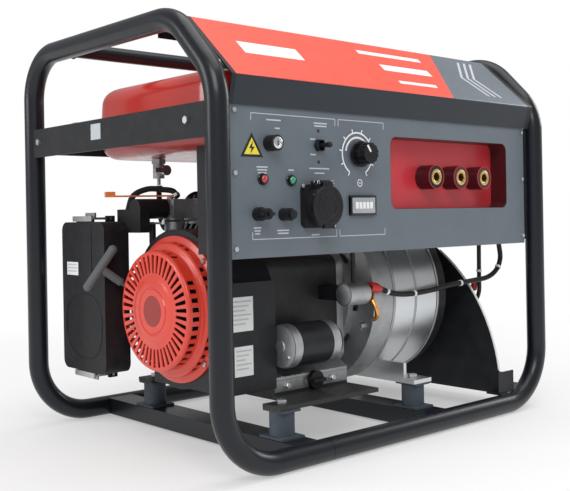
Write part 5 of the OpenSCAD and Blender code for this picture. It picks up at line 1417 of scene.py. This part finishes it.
@dataclass
class Cables:
    """Hoses, plug lead and looms with their clips, boots and lugs.

    Attributes:
        hoses: routes in millimetres and radii.
        looms: routes in millimetres and radii.
    """

    shop: Shop
    hose_fuel: Tuple[Point, ...] = (
        (-184, 108, 372), (-184, 108, 356), (-184, 107, 336), (-185, 102, 318), (-187, 92, 307),
        (-188, 84, 305), (-188, 77.4, 305))
    hose_breather: Tuple[Point, ...] = (
        (-255, 124, 300), (-246, 124, 300), (-236, 124, 310), (-232, 122, 334), (-226, 116, 356),
        (-208, 104, 366), (-190, 90, 365), (-179, 77, 362), (-176, 70, 352))
    loom_main: Tuple[Point, ...] = (
        (288, -190, 272), (291, -190, 262), (293, -190, 244), (284, -189, 226), (262, -186, 214),
        (224, -181, 210), (170, -179, 206), (122, -178, 201), (70, -177, 199), (36, -176, 203),
        (14, -173, 211), (-7, -172, 214))
    loom_battery: Tuple[Point, ...] = (
        (262, -170, 273), (262, -170, 262), (263, -169, 240), (264, -168, 216), (266, -166, 190),
        (267, -158, 176), (266, -144, 180), (263, -120, 202), (260, -98, 216), (258, -83, 213.5))
    loom_engine: Tuple[Point, ...] = (
        (-46, -176, 273.6), (-46, -176, 262), (-44, -175, 250), (-42, -173, 238), (-41, -172, 224))

    def build(self) -> None:
        """Makes the cables and what is on them."""
        self._run("hose_pair", ((self.hose_fuel, 4.2), (self.hose_breather, 4.5)), Paint.RUBBER,
                  ["hoses"])
        self._run("loom_set",
                  ((self.loom_main, 4.0), (self.loom_battery, 3.5), (self.loom_engine, 3.5)),
                  Paint.CABLE, ["wiring_loom"])
        bm = bmesh.new()
        for route, r, shares in ((self.hose_fuel, 4.2, (0.05, 0.95)),
                                 (self.hose_breather, 4.5, (0.05, 0.95))):
            self._ring(bm, route, r, shares, 1.3, 5.0)
        self.shop.piece("hose_clips", bm, Paint.STEEL)
        bm = bmesh.new()
        for route, r, shares in ((self.loom_main, 4.0, (0.25, 0.5, 0.7, 0.85)),
                                 (self.loom_battery, 3.5, (0.3, 0.75))):
            self._ring(bm, route, r, shares, 0.9, 4.0)
        self.shop.piece("loom_ties", bm, Paint.LABEL)
        bm = bmesh.new()
        add_revolve(bm, mm(16, -173.4, 210), Vector((-0.94, 0.06, 0.2)),
                    scaled(((0, 4.1), (1, 5.0), (8, 5.6), (9, 7.4), (22, 8.0), (23.5, 7.4),
                            (23.5, 3.2))), 32)
        add_revolve(bm, mm(266.6, -158, 176) + mm(0, 0, 32), Vector((0, 0.25, -1)),
                    scaled(((0, 3.6), (1, 5.2), (16, 5.6), (18, 4.0))), 32)
        self.shop.piece("red_boots", bm, Paint.CABLE_RED)
        bm = bmesh.new()
        add_revolve(bm, mm(-17, -172, 200), X_AXIS,
                    scaled(((0, 3.1), (0, 6.6), (1.6, 6.8), (1.8, 5.4), (5.6, 5.4), (5.8, 3.1))), 6)
        add_box(bm, mm(-16, -188, 192), mm(-13.6, -166, 204), 0.6 * MM)
        add_tube(bm,
                 smooth_path(((-14.8, -184, 196), (-13, -190, 184), (-8, -186, 172),
                              (2, -170, 166)), 8), 3.4 * MM, 14)
        self.shop.piece("copper_lug", bm, Paint.COPPER_BRIGHT)

    def _run(self, name: str, routes: Sequence[Tuple[Sequence[Point], float]], paint: Paint,
             replaces: Sequence[str]) -> None:
        """Makes one group of cables."""
        bm = bmesh.new()
        for route, r in routes:
            add_tube(bm, smooth_path(route, 12), r * MM, 20)
        self.shop.piece(name, bm, paint, Body.MACHINE, replaces)

    @staticmethod
    def _ring(bm: bmesh.types.BMesh, route: Sequence[Point], r: float, shares: Sequence[float],
              thick: float, wide: float) -> None:
        """Adds rings round a route at shares of its length."""
        path = smooth_path(route, 12)
        for share in shares:
            i = min(max(int(share * (len(path) - 1)), 1), len(path) - 2)
            axis = (path[i + 1] - path[i - 1]).normalized()
            h = wide / 2 * MM
            add_revolve(bm, path[i], axis,
                        [(-h, (r + 0.1) * MM), (-h, (r + thick) * MM), (h, (r + thick) * MM),
                                            (h, (r + 0.1) * MM), (-h, (r + 0.1) * MM)], 24)


@dataclass
class EngineTrim:
    """Labels, screws, ribs and gaskets of the engine and the alternator."""

    shop: Shop
    repeat: RadialRepeat

    def build(self) -> None:
        """Makes the trim."""
        self._labels()
        self._alternator()
        self._crankcase()
        self._starter()
        self._air_cleaner()
        self._tray_edge()

    def _bolts(self, name: str, x: float, radius: float, count: int, start: float, size: float,
               side: int, paint: Paint = Paint.STEEL) -> None:
        """Makes a ring of bolt heads with washers round the crank axis."""
        seed = bmesh.new()
        axis = X_AXIS * side
        add_revolve(seed, mm(0, radius, 0), axis,
                    [(0, 0), (0, size * 0.8 * MM), (1.2 * MM, size * 0.8 * MM), (1.2 * MM, 0)], 20)
        add_revolve(seed, mm(side * 1.2, radius, 0), axis, hex_head(size, size * 0.5), 6)
        self.repeat.build(self.shop, name, seed, Vector((x * MM, CRANK_Y, CRANK_Z)), count, paint,
                          start)

    def _alternator(self) -> None:
        """Makes the alternator's bolts, bands and seams."""
        self._bolts("bell_bolts", 12, 116, 6, 20, 11, -1)
        self._bolts("end_cover_bolts", 184, 119, 6, 50, 10, 1)
        bm = bmesh.new()
        for x0, x1, grow in ((54.2, 58.0, 0.9), (104.5, 108.5, 0.7), (157.5, 161.6, 0.9)):
            r = 134.0
            add_revolve(bm, Vector((0, CRANK_Y, CRANK_Z)), X_AXIS, [
                (x0 * MM, (r - 0.2) * MM), (x0 * MM, (r + grow) * MM),
                ((x0 + 0.6) * MM, (r + grow + 0.3) * MM),
                ((x1 - 0.6) * MM, (r + grow + 0.3) * MM), (x1 * MM, (r + grow) * MM),
                (x1 * MM, (r - 0.2) * MM),
                (x0 * MM, (r - 0.2) * MM)], 128)
        self.shop.piece("alternator_bands", bm, Paint.ALLOY)
        bm = bmesh.new()
        for x in (58.6, 157.0):
            add_revolve(bm, Vector((x * MM, CRANK_Y, CRANK_Z)), X_AXIS, [
                (0, 133.9 * MM), (0, 134.35 * MM), (0.5 * MM, 134.35 * MM), (0.5 * MM, 133.9 * MM),
                (0, 133.9 * MM)], 128)
        self.shop.piece("alternator_seams", bm, Paint.PRINT_BLACK)
        seed = bmesh.new()
        add_box(seed, mm(184.6, 84, -2.6), mm(186.6, 107, 2.6), 0.6 * MM)
        self.repeat.build(self.shop, "end_cover_ribs", seed, Vector((0, CRANK_Y, CRANK_Z)), 36,
                          Paint.BLACK)

    def _crankcase(self) -> None:
        """Makes the crankcase's ribs, drain plug and gasket."""
        bm = bmesh.new()
        # Bright alloy skin over the sump's front face; the rest of the case carries painted shade.
        add_plate(bm,
                  [mm(-162.5, y, z) for y,
                   z in ((-129, 74.5), (-135.4, 76), (-135.4, 97), (-101, 121), (-99, 119))],
                  mm(142, 0, 0), 0.4 * MM)
        for k in range(7):
            x = -150 + 19 * k
            add_plate(bm,
                      [mm(x, -129, 98), mm(x, -135.6, 98), mm(x, -135.6, 78), mm(x, -129, 74.5)],
                      mm(3.2, 0, 0), 0.5 * MM)
        add_box(bm, mm(-160, -136.4, 92), mm(-22, -134.6, 97), 0.8 * MM)
        for x in (-140, -96, -52):
            add_revolve(bm, mm(x, -134.8, 84), -Y_AXIS,
                        scaled([(0, 0), (0, 7), (2, 6.6), (2.4, 0)]), 32)
        self.shop.piece("sump_ribs", bm, Paint.ALLOY)
        bm = bmesh.new()
        for x in (-140, -96, -52):
            add_revolve(bm, mm(x, -137.1, 84), -Y_AXIS, hex_head(9, 3), 6)
        self.shop.piece("sump_plugs", bm, Paint.STEEL)
        bm = bmesh.new()
        outline = [Vector((0, -0.115 - 0.0006 + y * MM, 0.0994 + z * MM)) for y,
                   z in rounded(166.2, 163.2, 18.6, 8)]
        add_plate(bm, [p + mm(-20.5, 0, 0) for p in outline], mm(0.9, 0, 0))
        self.shop.piece("case_gasket", bm, Paint.PRINT_BLACK)

    def _starter(self) -> None:
        """Makes the bright bands and the end caps of the starter motor and its solenoid."""
        motor, solenoid = mm(0, -150, 142), mm(0, -172, 207)
        bm = bmesh.new()
        for at, x0, x1, r in ((motor, -163.6, -148, 30.3), (motor, -90, -74, 30.3),
                              (solenoid, -62.5, -19.6, 16.3)):
            add_revolve(bm, at, X_AXIS,
                        [(x0 * MM, 0), (x0 * MM, (r - 2) * MM), ((x0 + 1.2) * MM, r * MM),
                                         ((x1 - 0.8) * MM, r * MM), (x1 * MM, (r - 0.8) * MM),
                                         (x1 * MM, 0)], 64)
        add_revolve(bm, motor, X_AXIS, scaled([(-163.4, 0), (-163.4, 9), (-165.4, 8), (-165.4, 0)]),
                    32)
        self.shop.piece("starter_bands", bm, Paint.ALLOY)
        bm = bmesh.new()
        for a in (40, 220):
            side = Vector((0, math.cos(math.radians(a)), math.sin(math.radians(a)))) * 22 * MM
            add_revolve(bm, motor + side + mm(-163.4, 0, 0), -X_AXIS, hex_head(7, 3.4), 6)
        self.shop.piece("starter_bolts", bm, Paint.STEEL)

    def _labels(self) -> None:
        """Makes plain label plates without lettering."""
        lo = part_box("fan_shroud")[0]
        bm, marks = bmesh.new(), bmesh.new()
        y0 = lo.y - 0.05 * MM
        for x0, z0, x1, z1 in ((-243, 168, -205, 214), (-238, 108, -206, 148)):
            add_plate(bm,
                      [Vector((x * MM, y0, z * MM)) for x,
                       z in ((x0, z0), (x1, z0), (x1, z1), (x0, z1))], mm(0, -0.2, 0))
            rows = int((z1 - z0) / 6) - 1
            for k in range(rows):
                z, end = z1 - 6 - 6 * k, x1 - 3 - (k % 3) * 5
                bar = ((x0 + 3, z - 1), (end, z - 1), (end, z + 1), (x0 + 3, z + 1))
                add_plate(marks, [Vector((x * MM, y0 - 0.2 * MM, q * MM)) for x, q in bar],
                          mm(0, -0.1, 0))
        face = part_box("air_cleaner_cover")[0]
        x0 = face.x - PRINT_SINK
        add_plate(bm,
                  [Vector((x0, y * MM, z * MM)) for y,
                   z in ((195, 236), (161, 236), (161, 256), (195, 256))], mm(-0.2, 0, 0))
        for k in range(3):
            z = 252 - 5 * k
            add_plate(marks,
                      [Vector((x0 - 0.2 * MM, y * MM, q * MM)) for y,
                       q in ((192, z - 1), (165, z - 1), (165, z + 1), (192, z + 1))],
                       mm(-0.1, 0, 0))
        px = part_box("tank_end_plates")[0].x - PRINT_SINK
        ring = ((20, 432), (46, 432), (46, 454), (20, 454))
        add_plate(marks, [Vector((px, y * MM, z * MM)) for y, z in ring], mm(-0.1, 0, 0))
        self.shop.piece("labels", bm, Paint.LABEL)
        self.shop.piece("label_marks", marks, Paint.PRINT)

    def _air_cleaner(self) -> None:
        """Makes the raised ribs of the air cleaner cover."""
        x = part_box("air_cleaner_cover")[0].x
        bm = bmesh.new()
        ring = [Vector((x, 0.094 + y * MM, 0.112 + z * MM)) for y, z in rounded(106, 96, 40, 10)]
        ring.append(ring[0].copy())
        add_tube(bm, ring, 1.0 * MM, 8, False)
        add_box(bm, Vector((x - 0.9 * MM, 0.1205, 0.214)), Vector((x + 1 * MM, 0.1235, 0.312)),
                0.4 * MM)
        self.shop.piece("air_cover_ribs", bm, Paint.BLACK)

    def _tray_edge(self) -> None:
        """Makes the pale edge strip of the battery tray's wall."""
        centre_y, centre_z, r = 50.0, 32.0, 276.0
        path = []
        for k in range(41):
            z = 68 + (258 - 68) * k / 40
            y = centre_y - math.sqrt(r * r - (z - centre_z) ** 2)
            path.append(mm(236, max(y, -226) - 0.6, z))
        bm = bmesh.new()
        add_tube(bm, path, 1.7 * MM, 10)
        self.shop.piece("tray_edge", bm, Paint.LABEL)


@dataclass
class Studio:
    """Floor, lights and camera."""

    shop: Shop
    eye: Point = (-0.994, -1.0926, 0.3223)
    yaw: float = 41.80
    roll: float = -1.02
    lens: float = 57.9
    shift_y: float = -0.0535
    fill: float = 0.42

    def build(self) -> None:
        """Makes the floor, the lights and the camera."""
        bm = bmesh.new()
        bmesh.ops.create_grid(bm, x_segments=1, y_segments=1, size=9.0)
        mesh = bpy.data.meshes.new("floor")
        bm.to_mesh(mesh)
        bm.free()
        mesh.materials.append(self._fade(self.shop.shaders.material(Paint.FLOOR.value)))
        floor = bpy.data.objects.new("floor", mesh)
        bpy.context.scene.collection.objects.link(floor)
        world = bpy.data.worlds.new("studio")
        bpy.context.scene.world = world
        world.use_nodes = True
        nodes, link = world.node_tree.nodes, world.node_tree.links.new
        sky = nodes["Background"]
        sky.inputs["Color"].default_value = (1.0, 1.0, 1.0, 1.0)
        path, level = nodes.new("ShaderNodeLightPath"), nodes.new("ShaderNodeMapRange")
        level.inputs["To Min"].default_value = self.fill
        link(path.outputs["Is Camera Ray"], level.inputs["Value"])
        link(level.outputs["Result"], sky.inputs["Strength"])
        bpy.context.scene.view_settings.view_transform = "Standard"
        self._area("key", (-1.9, -2.3, 2.4), 1.6, 52.0)
        self._area("top", (0.2, -0.4, 2.6), 2.2, 34.0)
        self._area("rim_left", (-2.6, 1.2, 1.2), 1.2, 22.0)
        self._area("rim_right", (2.6, -0.6, 1.4), 1.2, 22.0)
        cam = bpy.data.cameras.new("camera")
        cam.lens, cam.sensor_width = self.lens, 36.0
        cam.shift_y = self.shift_y
        cam.clip_start, cam.clip_end = 0.05, 50.0
        obj = bpy.data.objects.new("camera", cam)
        obj.location = self.eye
        turn = Matrix.Rotation(-math.radians(self.yaw), 3,
                               "Z") @ Matrix.Rotation(math.radians(90), 3, "X")
        obj.rotation_euler = (turn @ Matrix.Rotation(math.radians(self.roll), 3, "Z")).to_euler()
        bpy.context.scene.collection.objects.link(obj)
        bpy.context.scene.camera = obj

    @staticmethod
    def _fade(material: bpy.types.Material) -> bpy.types.Material:
        """Lets the floor run out into the white backdrop away from the machine.

        Args:
            material: the floor's material.

        Returns:
            The same material.
        """
        nodes, link = material.node_tree.nodes, material.node_tree.links.new
        out = next(n for n in nodes if n.type == "OUTPUT_MATERIAL")
        bsdf = out.inputs["Surface"].links[0].from_socket
        place, reach = nodes.new("ShaderNodeNewGeometry"), nodes.new("ShaderNodeVectorMath")
        reach.operation = "LENGTH"
        share, glow, mix = (nodes.new("ShaderNode" + k)
                            for k in ("MapRange", "Emission", "MixShader"))
        share.inputs["From Min"].default_value = 0.25
        share.inputs["From Max"].default_value = 1.5
        share.inputs["To Min"].default_value = 0.35
        link(place.outputs["Position"], reach.inputs[0])
        link(reach.outputs["Value"], share.inputs["Value"])
        link(share.outputs["Result"], mix.inputs["Fac"])
        link(bsdf, mix.inputs[1])
        link(glow.outputs["Emission"], mix.inputs[2])
        link(mix.outputs["Shader"], out.inputs["Surface"])
        return material

    @staticmethod
    def _area(name: str, place: Point, size: float, power: float) -> None:
        """Adds a square area light that looks at the machine.

        Args:
            name: light name.
            place: its position.
            size: its side.
            power: its power in watts.
        """
        data = bpy.data.lights.new(name, "AREA")
        data.shape, data.size, data.energy = "SQUARE", size, power
        obj = bpy.data.objects.new(name, data)
        obj.location = place
        obj.rotation_euler = (Vector((0, 0,
                                      0.3)) - Vector(place)).to_track_quat("-Z", "Y").to_euler()
        bpy.context.scene.collection.objects.link(obj)


def main() -> None:
    """Builds the machine, piece by piece."""
    logging.basicConfig(level=logging.INFO, format="%(message)s")
    for old in list(bpy.data.objects):
        bpy.data.objects.remove(old)
    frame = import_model()
    shop = Shop(Shaders())
    CadDress(shop, frame["nodes"]).dress()
    repeat = RadialRepeat()
    TubeFrame(shop).build()
    RecoilStarter(shop, repeat).build()
    FuelTank(shop).build()
    Hood(shop).build()
    PanelPrint(shop).build()
    PanelFittings(shop, repeat).build()
    Cables(shop).build()
    EngineTrim(shop, repeat).build()
    Studio(shop).build()


if __name__ == "__main__":
    main()
